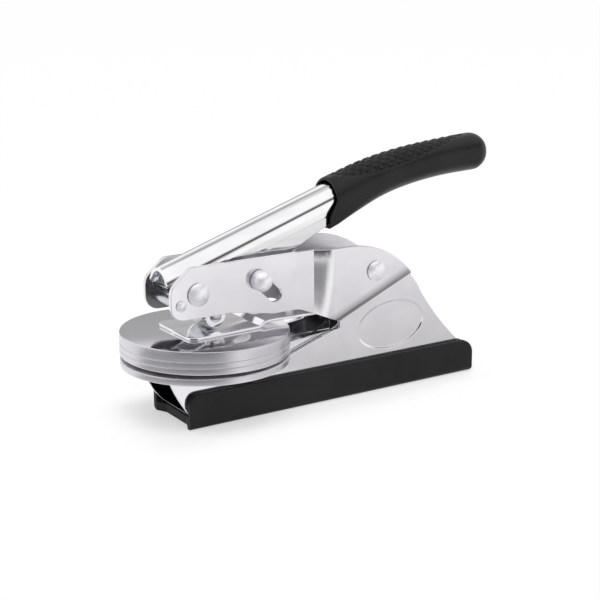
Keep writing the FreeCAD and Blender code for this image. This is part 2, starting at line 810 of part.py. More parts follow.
def makeUpperStrip():
    """Flat polished plate in front, a neck joggled up behind it, and two eyes round the hinge pin."""
    body = newBody("upper_strip")
    front = size("upper_strip_front")
    rear = size("hinge_x")
    wide = size("plate_front_half_width")
    rise = size("joggle_height")
    upStart = size("joggle_start")
    upEnd = upStart + size("joggle_run")
    downEnd = size("joggle_end")
    downStart = downEnd - size("joggle_run")
    bend = size("strip_thickness")
    side = newSketch(body, "XZ_Plane")
    lower = [
        (front, upperDiscTop), (upStart, upperDiscTop, bend), (upEnd, upperDiscTop + rise, bend),
        (downStart, upperDiscTop + rise, bend), (downEnd, upperDiscTop, bend), (rear, upperDiscTop)]
    upper = [(corner[0], corner[1] + size("strip_thickness")) + corner[2:] for corner in reversed(lower)]
    drawOutline(side, lower + upper)
    pad(body, side, "2 * sizes.plate_front_half_width", midplane=True)
    neckRound = size("plate_neck_radius")
    near = [
        (front, -wide, size("plate_corner_radius")),
        (size("plate_end"), -size("plate_rear_half_width"), neckRound),
        (size("neck_start"), -size("neck_half_width"), neckRound), (rear + 1, -size("neck_half_width"))]
    far = [(corner[0], -corner[1]) + corner[2:] for corner in reversed(near)]
    plan = newSketch(body, "XY_Plane", upperStripTop + 2 * rise)
    drawOutline(plan, rectangle(front - 1, -wide - 1, rear + 2, wide + 1))
    drawOutline(plan, near + far)
    pocket(body, plan, "4 * sizes.joggle_height + 2 * sizes.strip_thickness")
    eye = newSketch(body, "XZ_Plane")
    addCircle(eye, size("hinge_x"), hingeHeight, "sizes.hinge_eye_radius")
    pad(body, eye, "2 * sizes.neck_half_width", midplane=True)
    bore = newSketch(body, "XZ_Plane")
    addCircle(bore, size("hinge_x"), hingeHeight, "sizes.hinge_pin_radius + sizes.fit_gap")
    pocket(body, bore, "3 * sizes.neck_half_width", midplane=True)
    gap = newSketch(body, "XY_Plane", upperStripTop)
    springSpace = size("spring_half_width") + size("running_gap")
    gapFront = size("hinge_x") - size("hinge_eye_gap_reach")
    drawOutline(gap, rectangle(gapFront, -springSpace, size("hinge_x") + 5, springSpace))
    pocket(body, gap, "4 * sizes.hinge_eye_radius")
    dowelHoles = newSketch(body, "XY_Plane", upperDiscTop)
    for side in (-1, 1):
        addCircle(dowelHoles, side * size("dowel_spacing") / 2, 0, "sizes.dowel_radius + sizes.fit_gap")
    pocket(body, dowelHoles, "sizes.strip_thickness / 2", reverse=True)
    openedJaw(body)


def makeLowerStrip():
    """Strip under the lower disc, with sides turned up behind the disc to the hinge ears."""
    body = newBody("lower_strip")
    half = size("lower_strip_half_width")
    rear = size("hinge_x") + size("hinge_ear_radius")
    floor = newSketch(body, "XY_Plane", lowerStripBottom)
    corner = size("lower_strip_corner_radius")
    drawOutline(floor, [
        (size("lower_strip_front"), -half, corner), (rear, -half), (rear, half),
        (size("lower_strip_front"), half, corner)])
    pad(body, floor, "sizes.strip_thickness")
    flangeStart = math.sqrt(size("disc_radius") ** 2 - (half - 1.0) ** 2) + size("running_gap")
    earTop = hingeHeight + size("hinge_ear_radius")
    earFront = size("hinge_x") - size("hinge_ear_radius")
    flange = newSketch(body, "XZ_Plane")
    drawOutline(flange, [
        (flangeStart, lowerStripBottom), (rear, lowerStripBottom),
        (rear, hingeHeight), ("via", size("hinge_x"), earTop), (earFront, hingeHeight),
        (size("flange_rear_x"), size("flange_rear_height"), size("flange_rear_radius")),
        (flangeStart, size("flange_front_height"), size("flange_front_radius")),
    ])
    pad(body, flange, "2 * sizes.lower_strip_half_width", midplane=True)
    channel = newSketch(body, "XY_Plane", lowerStripTop)
    inside = half - size("strip_thickness")
    drawOutline(channel, rectangle(flangeStart - 1, -inside, rear + 1, inside))
    pocket(body, channel, "4 * sizes.hinge_ear_radius", reverse=True)
    bore = newSketch(body, "XZ_Plane")
    addCircle(bore, size("hinge_x"), hingeHeight, "sizes.hinge_pin_radius + sizes.fit_gap")
    pocket(body, bore, "3 * sizes.lower_strip_half_width", midplane=True)
    dowelHoles = newSketch(body, "XY_Plane", lowerStripTop)
    for side in (-1, 1):
        addCircle(dowelHoles, side * size("dowel_spacing") / 2, 0, "sizes.dowel_radius + sizes.fit_gap")
    pocket(body, dowelHoles, "sizes.strip_thickness / 2")


def makeHinge():
    pinHalf = size("lower_strip_half_width")
    turnedPiece("hinge_pin", size("hinge_x"), hingeHeight, rectangle(
        0, -pinHalf, size("hinge_pin_radius"), pinHalf))


def makeReturnSpring():
    """Torsion spring round the hinge pin: a coil, and a leg under each strip. The coil's
    centre line is a helix in short chords, and the wire has eight flat sides."""
    wire = size("spring_wire_radius")
    coil = size("spring_coil_radius")
    halfWidth = size("spring_half_width") - wire
    startAngle = math.radians(size("spring_lower_leg_angle") - 90)
    endAngle = math.radians(size("spring_upper_leg_angle") + 90 + 360 * size("spring_whole_turns"))
    chords = round(springChordsPerTurn * (endAngle - startAngle) / (2 * math.pi))
    centre = vector(size("hinge_x"), 0, hingeHeight)

    def tangentAt(angle):
        return vector(-math.sin(angle), 0, math.cos(angle))

    points = []
    for number in range(chords + 1):
        share = number / chords
        angle = startAngle + (endAngle - startAngle) * share
        across = halfWidth * (1 - 2 * share)
        points.append(centre + vector(coil * math.cos(angle), across, coil * math.sin(angle)))
    legStart = points[0] - tangentAt(startAngle) * size("spring_lower_leg_length")
    legEnd = points[-1] + tangentAt(endAngle) * size("spring_upper_leg_length")
    path = Part.makePolygon([legStart] + points + [legEnd])

    up = tangentAt(startAngle).cross(acrossY)
    corners = []
    for number in range(8):
        turn = math.pi / 8 + number * math.pi / 4
        corners.append(legStart + (acrossY * math.cos(turn) + up * math.sin(turn)) * wire)
    section = Part.makePolygon(corners + [corners[0]])
    feature = doc.addObject("Part::Feature", "return_spring_wire")
    feature.Shape = path.makePipeShell([section], True, False, mitredCorners)
    finished(feature, "return_spring")


# ---------------------------------------------------------------- lever

leverAngle = math.radians(size("lever_angle"))
leverDirection = vector(math.cos(leverAngle), 0, math.sin(leverAngle))
leverNormal = vector(-math.sin(leverAngle), 0, math.cos(leverAngle))
leverTurn = FreeCAD.Rotation(acrossY, leverNormal, leverDirection, "XYZ")
leverNose = vector(pivotX - size("lever_nose_reach"), 0, pivotHeight + size("lever_nose_rise"))
leverPlace = FreeCAD.Placement(leverNose, leverTurn)


def leverTopHeight(x):
    return leverNose.z + (x - leverNose.x) * math.tan(leverAngle)


def leverEdgeHeight(x):
    """Height of the lower edge of the lever's sides at x."""
    slope = math.tan(math.radians(size("lever_edge_slope")))
    run = x - pivotX - size("lever_edge_reach")
    return pivotHeight + size("lever_edge_rise") + run * slope


def archSection(halfWidth, crown, depth):
    """Round-topped section, open below: outline of the outside."""
    return [
        (-halfWidth, -depth), (halfWidth, -depth), (halfWidth, crown - halfWidth),
        ("via", 0, crown), (-halfWidth, crown - halfWidth),
    ]


def directionAt(angle):
    """Unit vector that rises towards the rear by an angle, in side view."""
    return vector(math.cos(angle), 0, math.sin(angle))


def normalAt(angle):
    return vector(-math.sin(angle), 0, math.cos(angle))


gripStartAngle = leverAngle + math.radians(size("grip_start_lift"))
gripStartHeight = leverTopHeight(size("grip_start_x")) - size("grip_centre_drop")
gripEndAngle = gripStartAngle - math.radians(size("grip_bend_angle"))
gripMiddleAngle = (gripStartAngle + gripEndAngle) / 2


def gripCurve():
    """Centre line of the grip: straight along the lever, then bending level. Returns its edges."""
    start = vector(size("grip_start_x"), 0, gripStartHeight)
    bendStart = start + directionAt(gripStartAngle) * size("grip_straight_length")
    radius = size("grip_bend_radius")
    centre = bendStart - normalAt(gripStartAngle) * radius
    bendMiddle = centre + normalAt(gripMiddleAngle) * radius
    bendEnd = centre + normalAt(gripEndAngle) * radius
    tailEnd = bendEnd + directionAt(gripEndAngle) * size("grip_tail_length")
    return start, bendStart, bendMiddle, bendEnd, tailEnd


def makeTang(name, grow):
    """Bar inside the grip, swept along the grip's centre line. grow makes the bore for it."""
    start, bendStart, bendMiddle, bendEnd, tailEnd = gripCurve()
    tailDirection = (tailEnd - bendEnd).normalize()
    tangEnd = bendEnd + tailDirection * (size("tang_tail_length") + 2 * grow)
    path = Part.Wire([
        Part.LineSegment(start, bendStart).toShape(),
        Part.Arc(bendStart, bendMiddle, bendEnd).toShape(),
        Part.LineSegment(bendEnd, tangEnd).toShape(),
    ])
    halfWidth = size("tang_half_width") + grow
    halfHeight = size("tang_half_height") + grow
    corners = []
    for across, up in ((-1, -1), (1, -1), (1, 1), (-1, 1)):
        corners.append(start + acrossY * (across * halfWidth) + normalAt(gripStartAngle) * (up * halfHeight))
    section = Part.makePolygon(corners + [corners[0]])
    feature = doc.addObject("Part::Feature", name)
    feature.Shape = path.makePipeShell([section], True, False)
    return feature


def leverOutline(grow):
    """Side view of the lever: nose, lobe for the roller, long lower edge, end inside the grip."""
    end = size("grip_start_x") + size("lever_hidden_length") + grow
    lobeRadius = size("roller_lobe_radius")
    leaveAngle = math.radians(size("lever_edge_slope")) / 2
    leaveX = rollerX + lobeRadius * math.cos(leaveAngle)
    leaveHeight = rollerHeight + lobeRadius * math.sin(leaveAngle)
    shoulderX = rollerX + size("lever_shoulder_reach")
    high = leverTopHeight(end) + size("lever_half_width")
    noseRound = size("lever_nose_radius")
    return [
        (leverNose.x, high),
        (leverNose.x, pivotHeight + size("lever_lip_rise"), noseRound),
        (pivotX - size("pivot_lobe_radius"), pivotHeight + size("lever_throat_rise"), noseRound),
        (pivotX - size("lever_chin_reach"), pivotHeight - size("lever_chin_drop"), size("lever_chin_radius")),
        (rollerX - lobeRadius, rollerHeight), ("via", rollerX, rollerHeight - lobeRadius),
        (leaveX, leaveHeight), (shoulderX, leverEdgeHeight(shoulderX) - grow, size("lever_shoulder_radius")),
        (end, leverEdgeHeight(end) - grow), (end, high),
    ]


def makeLever():
    """Inverted U of sheet with a round top, its tang, and the lobes that carry the roller."""
    half = size("lever_half_width")
    wall = size("lever_wall")
    depth = fullWidth / 2
    outerArch = freeSketch("lever_arch", leverPlace, archSection(half, 0, depth))
    innerArch = freeSketch("lever_hollow", leverPlace, archSection(half - wall, -wall, depth))
    outerBar = extruded("lever_bar", outerArch, leverDirection, fullLength, symmetric=True)
    innerBar = extruded("lever_core", innerArch, leverDirection, fullLength, symmetric=True)
    shell = cutFrom("lever_shell_bar", outerBar, innerBar)
    blank = commonOf("lever_side", shell, sideBlank("lever_blank", leverOutline(0)))
    withTang = fusionOf("lever_with_tang", [blank, makeTang("lever_tang", 0)])
    stroke = math.radians(size("lever_stroke"))
    notchTop = pivotHeight + size("lock_reach") * math.sin(stroke) + size("lock_rise") * math.cos(stroke)
    notchBottom = lockHeight - 2 * size("lock_drop")
    clearance = size("lock_pin_radius") + size("running_gap")
    notchFront = lockX - clearance - size("lock_reach") * (1 - math.cos(stroke)) - size("running_gap")
    notchRear = lockX + clearance + 2 * size("running_gap")
    notchOutline = [
        (notchFront, notchBottom), (notchRear, notchBottom), (notchRear, notchTop),
        ("via", (notchFront + notchRear) / 2, notchTop + clearance + size("running_gap")),
        (notchFront, notchTop),
    ]
    openings = fusionOf("lever_openings", [
        sideBlank("lock_notch", notchOutline),
        crossHole("lever_pivot_hole", pivotX, pivotHeight,
                  "sizes.pivot_radius + sizes.fit_gap"),
        crossHole("lever_roller_hole", rollerX, rollerHeight,
                  "sizes.roller_axle_radius + sizes.fit_gap"),
    ])
    finished(cutFrom("lever_sheet", withTang, openings), "lever_shell")

    inside = half - wall
    turnedPiece("lever_bush", pivotX, pivotHeight, tubeProfile(
        size("pivot_radius") + size("fit_gap"), size("bush_radius"), -inside, inside))
    turnedPair("pivot_washers", pivotX, pivotHeight, tubeProfile(
        size("pivot_radius") + size("fit_gap"), size("washer_radius"),
        -armInside, -half - size("running_gap")))
    turnedPiece("roller_axle", rollerX, rollerHeight, headedProfile(
        size("roller_axle_radius"), size("roller_head_radius"), half, size("roller_head_height")))
    turnedPiece("press_roller", rollerX, rollerHeight, tubeProfile(
        size("roller_axle_radius") + size("fit_gap"), size("roller_radius"),
        -inside + size("running_gap"), inside - size("running_gap")))


# ---------------------------------------------------------------- grip

def clamped(share):
    return min(max(share, 0.0), 1.0)


def gripSection(name, centre, direction, distance, inset):
    """Section of the grip square to its centre line: round top, upright sides, flat bottom.
    distance is along the grip from its start, and inset draws the section smaller all round."""
    swell = 0.5 * (1 + math.cos(math.pi * clamped(distance / size("grip_swell_length"))))
    halfWidth = size("grip_half_width") + size("grip_front_swell") * swell - inset
    top = size("grip_top") + size("grip_front_rise") * swell - inset
    bottom = size("grip_bottom") - size("grip_front_tuck") * swell - inset
    growth = math.sin(math.pi / 2 * clamped(distance / size("grip_corner_length")))
    frontCorner = size("grip_front_corner_radius")
    corner = frontCorner + (size("grip_corner_radius") - frontCorner) * growth
    corner = min(corner, 0.9 * halfWidth)
    up = direction.cross(acrossY)
    sketch = doc.addObject("Sketcher::SketchObject", name)
    sketch.Placement = FreeCAD.Placement(centre, FreeCAD.Rotation(up, acrossY, vector(0, 0, 0), "XYZ"))
    drawOutline(sketch, [
        (-bottom, -halfWidth, corner), (top - halfWidth, -halfWidth), ("via", top, 0),
        (top - halfWidth, halfWidth), (-bottom, halfWidth, corner),
    ])
    return sketch


def gripStationList():
    """Centre, direction, distance along the grip and inset of each section, front to end."""
    start, bendStart, bendMiddle, bendEnd, tailEnd = gripCurve()
    startDirection = directionAt(gripStartAngle)
    tailDirection = directionAt(gripEndAngle)
    straight = size("grip_straight_length")
    radius = size("grip_bend_radius")
    endRadius = size("grip_end_radius")
    stations = []
    for share in (-0.45, 0.0, 0.25, 0.5, 1.0):
        distance = straight * share
        stations.append((start + startDirection * distance, startDirection, distance, 0.0))
    bendCentre = bendStart - normalAt(gripStartAngle) * radius
    bendLength = radius * (gripStartAngle - gripEndAngle)
    for number in range(1, gripStations + 1):
        share = number / gripStations
        angle = gripStartAngle + (gripEndAngle - gripStartAngle) * share
        centre = bendCentre + normalAt(angle) * radius
        stations.append((centre, directionAt(angle), straight + bendLength * share, 0.0))
    for share in (1.0, 0.55, 0.25, 0.07, 0.0):
        fromEnd = endRadius * share
        inset = endRadius - math.sqrt(endRadius ** 2 - (endRadius - fromEnd) ** 2)
        distance = straight + bendLength + size("grip_tail_length") - fromEnd
        stations.append((tailEnd - tailDirection * fromEnd, tailDirection, distance, inset))
    return stations


def makeGrip():
    """Rubber sleeve, ruled between sections along its centre line, with a rounded far end."""
    sections = []
    for number, (centre, direction, distance, inset) in enumerate(gripStationList()):
        sections.append(gripSection("grip_section%d" % number, centre, direction, distance, inset))
    loft = doc.addObject("Part::Loft", "grip_loft")
    loft.Sections = sections
    loft.Solid = True
    loft.Ruled = True
    browX = size("grip_start_x") + size("grip_brow_reach")
    brow = gripStartHeight + size("grip_brow_rise")
    chinX = size("grip_start_x") - size("grip_chin_reach")
    chin = gripStartHeight - size("grip_chin_drop")
    rounding = size("grip_front_rounding")
    far = chinX + fullLength / 2
    frontCut = sideBlank("grip_front_cut", [
        (browX, brow + fullWidth), (browX, brow, rounding), (chinX, chin, rounding),
        (chinX, chin - fullWidth), (far, chin - fullWidth), (far, brow + fullWidth),
    ])
    outside = commonOf("grip_outside", loft, frontCut)
    gap = size("grip_bore_gap")
    half = size("lever_half_width") + gap
    depth = fullWidth / 2
    boreArch = freeSketch("grip_bore_arch", leverPlace, archSection(half, gap, depth))
    boreBar = extruded("grip_bore_bar", boreArch, leverDirection, fullLength, symmetric=True)
    boreFront = commonOf("grip_bore_front", boreBar, sideBlank("grip_bore_blank", leverOutline(gap)))
    mouthGap = size("grip_mouth_gap")
    mouthHalf = size("lever_half_width") + mouthGap
    mouthArch = freeSketch("grip_mouth_arch", leverPlace, archSection(mouthHalf, mouthGap, depth))
    mouthBar = extruded("grip_mouth_bar", mouthArch, leverDirection, fullLength, symmetric=True)
    mouthFront = chinX - fullWidth / 6
    mouthEnd = size("grip_mouth_end")
    mouthTop = leverTopHeight(mouthEnd) + size("lever_half_width")
    mouthOutline = [
        (mouthFront, leverEdgeHeight(mouthFront) - mouthGap),
        (mouthEnd, leverEdgeHeight(mouthEnd) - mouthGap),
        (mouthEnd, mouthTop), (mouthFront, mouthTop)]
    mouth = commonOf("grip_mouth", mouthBar, sideBlank("grip_mouth_blank", mouthOutline))
    bore = fusionOf("grip_bore", [boreFront, mouth, makeTang("grip_bore_tang", gap)])
    finished(cutFrom("grip_sleeve", outside, bore), "grip")


# ---------------------------------------------------------------- lock pin

def makeLock():
    """Cross pin in the arms' slanted slots, with a domed knob pressed on each end."""
    pinEnd = size("lock_knob_end") - size("lock_knob_wall")
    turnedPiece("lock_pin", lockX, lockHeight, rectangle(
        0, -pinEnd, size("lock_pin_radius"), pinEnd))
    bore = size("lock_pin_radius") + size("fit_gap")
    radius = size("lock_knob_radius")
    near = -size("lock_knob_start")
    far = -size("lock_knob_end")
    blind = -pinEnd - size("fit_gap")
    dome = [(across, far + drop) for across, drop in domePoints(radius, size("lock_knob_dome"))]
    foot = size("lock_knob_foot")
    turnedPair("lock_knobs", lockX, lockHeight, [(bore, near), (bore, blind), (0, blind)] + dome + [
        (radius, near - foot), (radius - foot, near),
    ])


# ---------------------------------------------------------------- build and write

makePressFrame()
makeRubberBoot()
makeFrameRivets()
makeSealPlates()
makeDowelPair("lower_dowels", lowerStripTop - size("strip_thickness") / 2,
              lowerDiscTop - size("die_insert_depth"), opened=False)
makeDowelPair("upper_dowels", dieBottom, upperDiscTop + size("strip_thickness") / 2, opened=True)
makeUpperStrip()
makeLowerStrip()
makeHinge()
makeReturnSpring()
makeLever()
makeGrip()
makeLock()
doc.recompute()

for item in doc.Objects:
    if "Invalid" in item.State or "Error" in item.State:
        raise RuntimeError("%s is %s" % (item.Name, item.State))
for piece in finishedParts:
    if piece.Shape.isNull() or not piece.Shape.isValid():
        raise RuntimeError(piece.Label + " has no valid shape")
for piece in finishedParts:
    piece.Shape.exportStep("parts/%s.step" % piece.Label)
    print(piece.Label, len(piece.Shape.Solids), round(piece.Shape.Volume, 1))
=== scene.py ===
import json
import math

import bmesh
import bpy
import numpy as np
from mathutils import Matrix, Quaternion, Vector


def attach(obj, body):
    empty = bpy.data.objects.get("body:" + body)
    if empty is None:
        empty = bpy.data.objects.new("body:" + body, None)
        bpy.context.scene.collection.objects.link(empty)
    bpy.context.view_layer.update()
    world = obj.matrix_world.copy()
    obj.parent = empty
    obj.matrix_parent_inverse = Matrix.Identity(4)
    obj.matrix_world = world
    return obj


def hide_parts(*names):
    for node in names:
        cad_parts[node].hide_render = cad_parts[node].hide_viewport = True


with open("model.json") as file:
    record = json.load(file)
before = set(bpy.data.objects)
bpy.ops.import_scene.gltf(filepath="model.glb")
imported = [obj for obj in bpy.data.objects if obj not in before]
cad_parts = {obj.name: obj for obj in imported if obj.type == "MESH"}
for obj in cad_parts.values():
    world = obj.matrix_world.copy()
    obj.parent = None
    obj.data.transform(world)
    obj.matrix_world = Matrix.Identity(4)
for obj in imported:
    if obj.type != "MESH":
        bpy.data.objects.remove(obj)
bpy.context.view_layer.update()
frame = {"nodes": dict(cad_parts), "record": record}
nodes = frame["nodes"]
record = frame["record"]
bodyOf = {node: body for body, members in record["behaviour"]["bodies"].items() for node in members}
scene = bpy.context.scene
mm = 0.001
print("frame loaded:", len(nodes), "nodes")


# small helpers for objects, colours and node trees

def putObject(name, data):
    thing = bpy.data.objects.new(name, data)
    scene.collection.objects.link(thing)
    return thing


def linear(hexColour):
    # sRGB to linear light: v / 12.92 for dark values, else ((v + 0.055) / 1.055) ** 2.4
    channels = np.array([int(hexColour[i:i + 2], 16) for i in (1, 3, 5)]) / 255
    light = np.where(channels <= 0.04045, channels / 12.92, ((channels + 0.055) / 1.055) ** 2.4)
    return (*light.tolist(), 1.0)


def setStops(ramp, stops):
    # stops are (position, grey level or hex colour)
    ramp.interpolation = "EASE"
    while len(ramp.elements) < len(stops):
        ramp.elements.new(1.0)
    for element, (position, level) in zip(ramp.elements, stops):
        element.position = position
        element.color = linear(level) if isinstance(level, str) else (level, level, level, 1)


def addNode(tree, kind, settings=None):
    # a setting is an attribute, the stops of a colour ramp, or an input: its value, or the socket that
    # feeds it, where a node stands for its first output; a key of two names takes a pair
    node = tree.nodes.new("ShaderNode" + kind)
    for key, given in (settings or {}).items():
        for name, value in zip(key, given) if isinstance(key, tuple) else [(key, given)]:
            if isinstance(value, bpy.types.Node):
                value = value.outputs[0]
            if name == "stops":
                setStops(node.color_ramp, value)
            elif isinstance(value, bpy.types.NodeSocket):
                tree.links.new(value, node.inputs[name])
            elif isinstance(name, str) and hasattr(node, name):
                setattr(node, name, value)
            else:
                node.inputs[name].default_value = value
    return node


fromEnds, toEnds = ("From Min", "From Max"), ("To Min", "To Max")      # the two ranges of a Map Range node
white = (1, 1, 1, 1)


def newMaterial(name):
    material = bpy.data.materials.new(name)
    material.use_nodes = True
    material.node_tree.nodes.clear()
    return material, material.node_tree


# camera

cameraView = {
    "target": (0.045, 0.0, 0.035),
    "azimuth": -33.24,      # degrees, 0 looks along +Y
    "elevation": 14.51,
    "roll": -0.109,
    "distance": 0.44876,
    "nearest": 0.01,
    "lens": 80.56,
    "shift": (-0.03866, -0.01987),
}


def makeCamera(view):
    azimuth = math.radians(view["azimuth"])
    elevation = math.radians(view["elevation"])
    back = Vector((math.sin(azimuth) * math.cos(elevation),
                   -math.cos(azimuth) * math.cos(elevation), math.sin(elevation)))
    camera = putObject("camera", bpy.data.cameras.new("camera"))
    camera.location = Vector(view["target"]) + back * view["distance"]
    camera.rotation_mode = "QUATERNION"
    roll = Quaternion((0, 0, 1), math.radians(view["roll"]))
    camera.rotation_quaternion = (-back).to_track_quat("-Z", "Y") @ roll
    camera.data.lens = view["lens"]
    camera.data.shift_x, camera.data.shift_y = view["shift"]
    camera.data.clip_start = view["nearest"]
    bpy.context.scene.camera = camera


makeCamera(cameraView)
print("camera placed")


# studio: white floor, white surroundings with dark bands overhead, a dark room at the camera, two softboxes

studio = {
    "floorSize": 6.0,
    "floorWhite": "#f7f7f7",
    "shadowShare": (0.52, 0.02),        # how much of the floor's light can be shaded, near and far
    "shadowReach": (0.000, 0.016),      # metres from the press where the near share fades out
    "footMiddle": (0.039, 0.0, 0.0), "footHalf": (0.058, 0.018, 0.0),
    "ambient": 0.55,
    # grey by the ray's height, 0 straight down and 1 straight up, for rays to the near side and the far one
    "nearBand": [(0.655, 1.0), (0.70, 0.35), (0.735, 0.02), (0.770, 0.35), (0.82, 1.0)],
    "farBand": [(0.490, 1.0), (0.500, 0.40), (0.66, 0.46), (0.72, 0.95), (0.81, 1.0), (0.86, 0.75),
                (0.935, 0.36), (0.965, 0.50), (0.99, 1.0)],
    "sideSpan": (-0.4, 0.4),            # where the near band turns to the far one, along Y
    "behind": (0.548, 0.836, 0.0),      # the far band is grey straight behind the press, white to both sides
    "behindSpan": (0.82, 0.50),
    # the dark room that the camera stands in: low rays that point back at it
    "darkRoom": (-0.548, -0.836, 0.0),
    "roomSpan": (0.60, 0.86), "roomHeight": (0.50, 0.30), "roomGrey": 0.03,
    "softboxes": [          # position, aim point, size, watts
        ((-0.35, -0.55, 1.10), (0.03, 0.0, 0.03), 0.9, 9.0),
        ((0.75, 0.35, 0.95), (0.03, 0.0, 0.03), 0.7, 4.0),
    ],
}


def seenRays(tree):
    # 1 for rays from the camera, from gloss or through glass, 0 for the rays that carry light
    path = addNode(tree, "LightPath")
    both = addNode(tree, "Math", {"operation": "MAXIMUM", 0: path.outputs["Is Camera Ray"],
                                  1: path.outputs["Is Glossy Ray"]})
    return addNode(tree, "Math", {"operation": "MAXIMUM", 0: both, 1: path.outputs["Is Transmission Ray"]})


def makeFloor(settings):
    half = settings["floorSize"] / 2
    mesh = bpy.data.meshes.new("floor")
    mesh.from_pydata([(-half, -half, 0), (half, -half, 0), (half, half, 0), (-half, half, 0)],
                     [], [(0, 1, 2, 3)])
    floor = putObject("floor", mesh)
    material, tree = newMaterial("white paper sweep")
    # distance from the foot: length of max(|p - middle| - half, 0)
    place = addNode(tree, "TexCoord").outputs["Object"]
    aside = addNode(tree, "VectorMath", {"operation": "SUBTRACT", 0: place, 1: settings["footMiddle"]})
    away = addNode(tree, "VectorMath", {"operation": "ABSOLUTE", 0: aside})
    past = addNode(tree, "VectorMath", {"operation": "SUBTRACT", 0: away, 1: settings["footHalf"]})
    clear = addNode(tree, "VectorMath", {"operation": "MAXIMUM", 0: past, 1: (0, 0, 0)})
    distance = addNode(tree, "VectorMath", {"operation": "LENGTH", 0: clear}).outputs["Value"]
    fade = addNode(tree, "MapRange", {
        "interpolation_type": "SMOOTHSTEP", "Value": distance, fromEnds: settings["shadowReach"],
        toEnds: [1 - share for share in settings["shadowShare"]]})
    share = addNode(tree, "Math", {"operation": "MULTIPLY", 0: seenRays(tree), 1: fade})
    matt = addNode(tree, "BsdfDiffuse", {"Color": linear(settings["floorWhite"])})
    glow = addNode(tree, "Emission", {"Color": white, "Strength": 1.0})
    mixed = addNode(tree, "MixShader", {0: share, 1: matt, 2: glow})
    addNode(tree, "OutputMaterial", {"Surface": mixed})
    mesh.materials.append(material)


def makeWorld(settings):
    world = bpy.data.worlds.new("studio")
    scene.world = world
    world.use_nodes = True
    tree = world.node_tree
    tree.nodes.clear()
    ray = addNode(tree, "TexCoord").outputs["Generated"]
    direction = addNode(tree, "SeparateXYZ", {0: ray})
    height = addNode(tree, "MapRange", {"Value": direction.outputs["Z"], fromEnds: (-1, 1)})
    nearBand = addNode(tree, "ValToRGB", {"Fac": height, "stops": settings["nearBand"]})
    farBand = addNode(tree, "ValToRGB", {"Fac": height, "stops": settings["farBand"]})
    level = addNode(tree, "VectorMath", {"operation": "MULTIPLY", 0: ray, 1: (1, 1, 0)})
    level = addNode(tree, "VectorMath", {"operation": "NORMALIZE", 0: level})
    behind = addNode(tree, "VectorMath", {"operation": "DOT_PRODUCT", 0: level, 1: settings["behind"]})
    facing = addNode(tree, "VectorMath", {"operation": "DOT_PRODUCT", 0: ray, 1: settings["darkRoom"]})
    beside, inRoom, low = [
        addNode(tree, "MapRange", {"interpolation_type": "SMOOTHSTEP", "Value": value,
                                   fromEnds: settings[span]})
        for value, span in ((behind.outputs["Value"], "behindSpan"), (facing.outputs["Value"], "roomSpan"),
                            (direction.outputs["Z"], "roomHeight"))]
    side = addNode(tree, "MapRange", {"Value": direction.outputs["Y"], fromEnds: settings["sideSpan"]})
    room = addNode(tree, "Math", {"operation": "MULTIPLY", 0: inRoom, 1: low})
    farBand = addNode(tree, "Mix", {"data_type": "RGBA", "Factor": beside, 6: farBand, 7: white}).outputs[2]
    bands = addNode(tree, "Mix", {"data_type": "RGBA", "Factor": side, 6: nearBand, 7: farBand}).outputs[2]
    bands = addNode(tree, "Mix", {"data_type": "RGBA", "Factor": room, 6: bands,
                                  7: (*[settings["roomGrey"]] * 3, 1)}).outputs[2]
    # metal sees the bands, the camera sees plain white, and all else is lit at the ambient level
    mirrored = addNode(tree, "Background", {"Color": bands, "Strength": 1.0})
    plain = addNode(tree, "Background", {"Color": white, "Strength": settings["ambient"]})
    bright = addNode(tree, "Background", {"Color": white, "Strength": 1.0})
    path = addNode(tree, "LightPath")
    lit = addNode(tree, "MixShader", {0: path.outputs["Is Glossy Ray"], 1: plain, 2: mirrored})
    whole = addNode(tree, "MixShader", {0: path.outputs["Is Camera Ray"], 1: lit, 2: bright})
    addNode(tree, "OutputWorld", {"Surface": whole})


toneCard = {                # card on the floor round the press, only metal sees it
    "near": 0.045, "far": 0.80, "soft": 0.02,   # metres from the middle, and the width of the soft inner edge
    "rings": 90, "spokes": 240,
    # tone by direction, degrees from +X; white behind, dark in front on the left, 0 takes the tone below
    "angles": (0, 150, 166, 248, 262, 273, 280, 288, 296, 345, 360),
    "tones": (1.0, 1.0, 0.29, 0.29, 0.38, 0.80, 1.0, 1.0, 0.0, 0.0, 1.0),
    # tone in front on the right, by metres in front of the middle
    "ahead": (0.043, 0.076, 0.108, 0.141, 0.174, 0.206, 0.237),
    "aheadTones": (0.64, 0.72, 0.76, 0.81, 0.89, 0.97, 1.0),
    "closeTone": 0.40, "close": (0.102, 0.124),     # paler again close to the press, where the rims look
    "height": 0.0004,
}


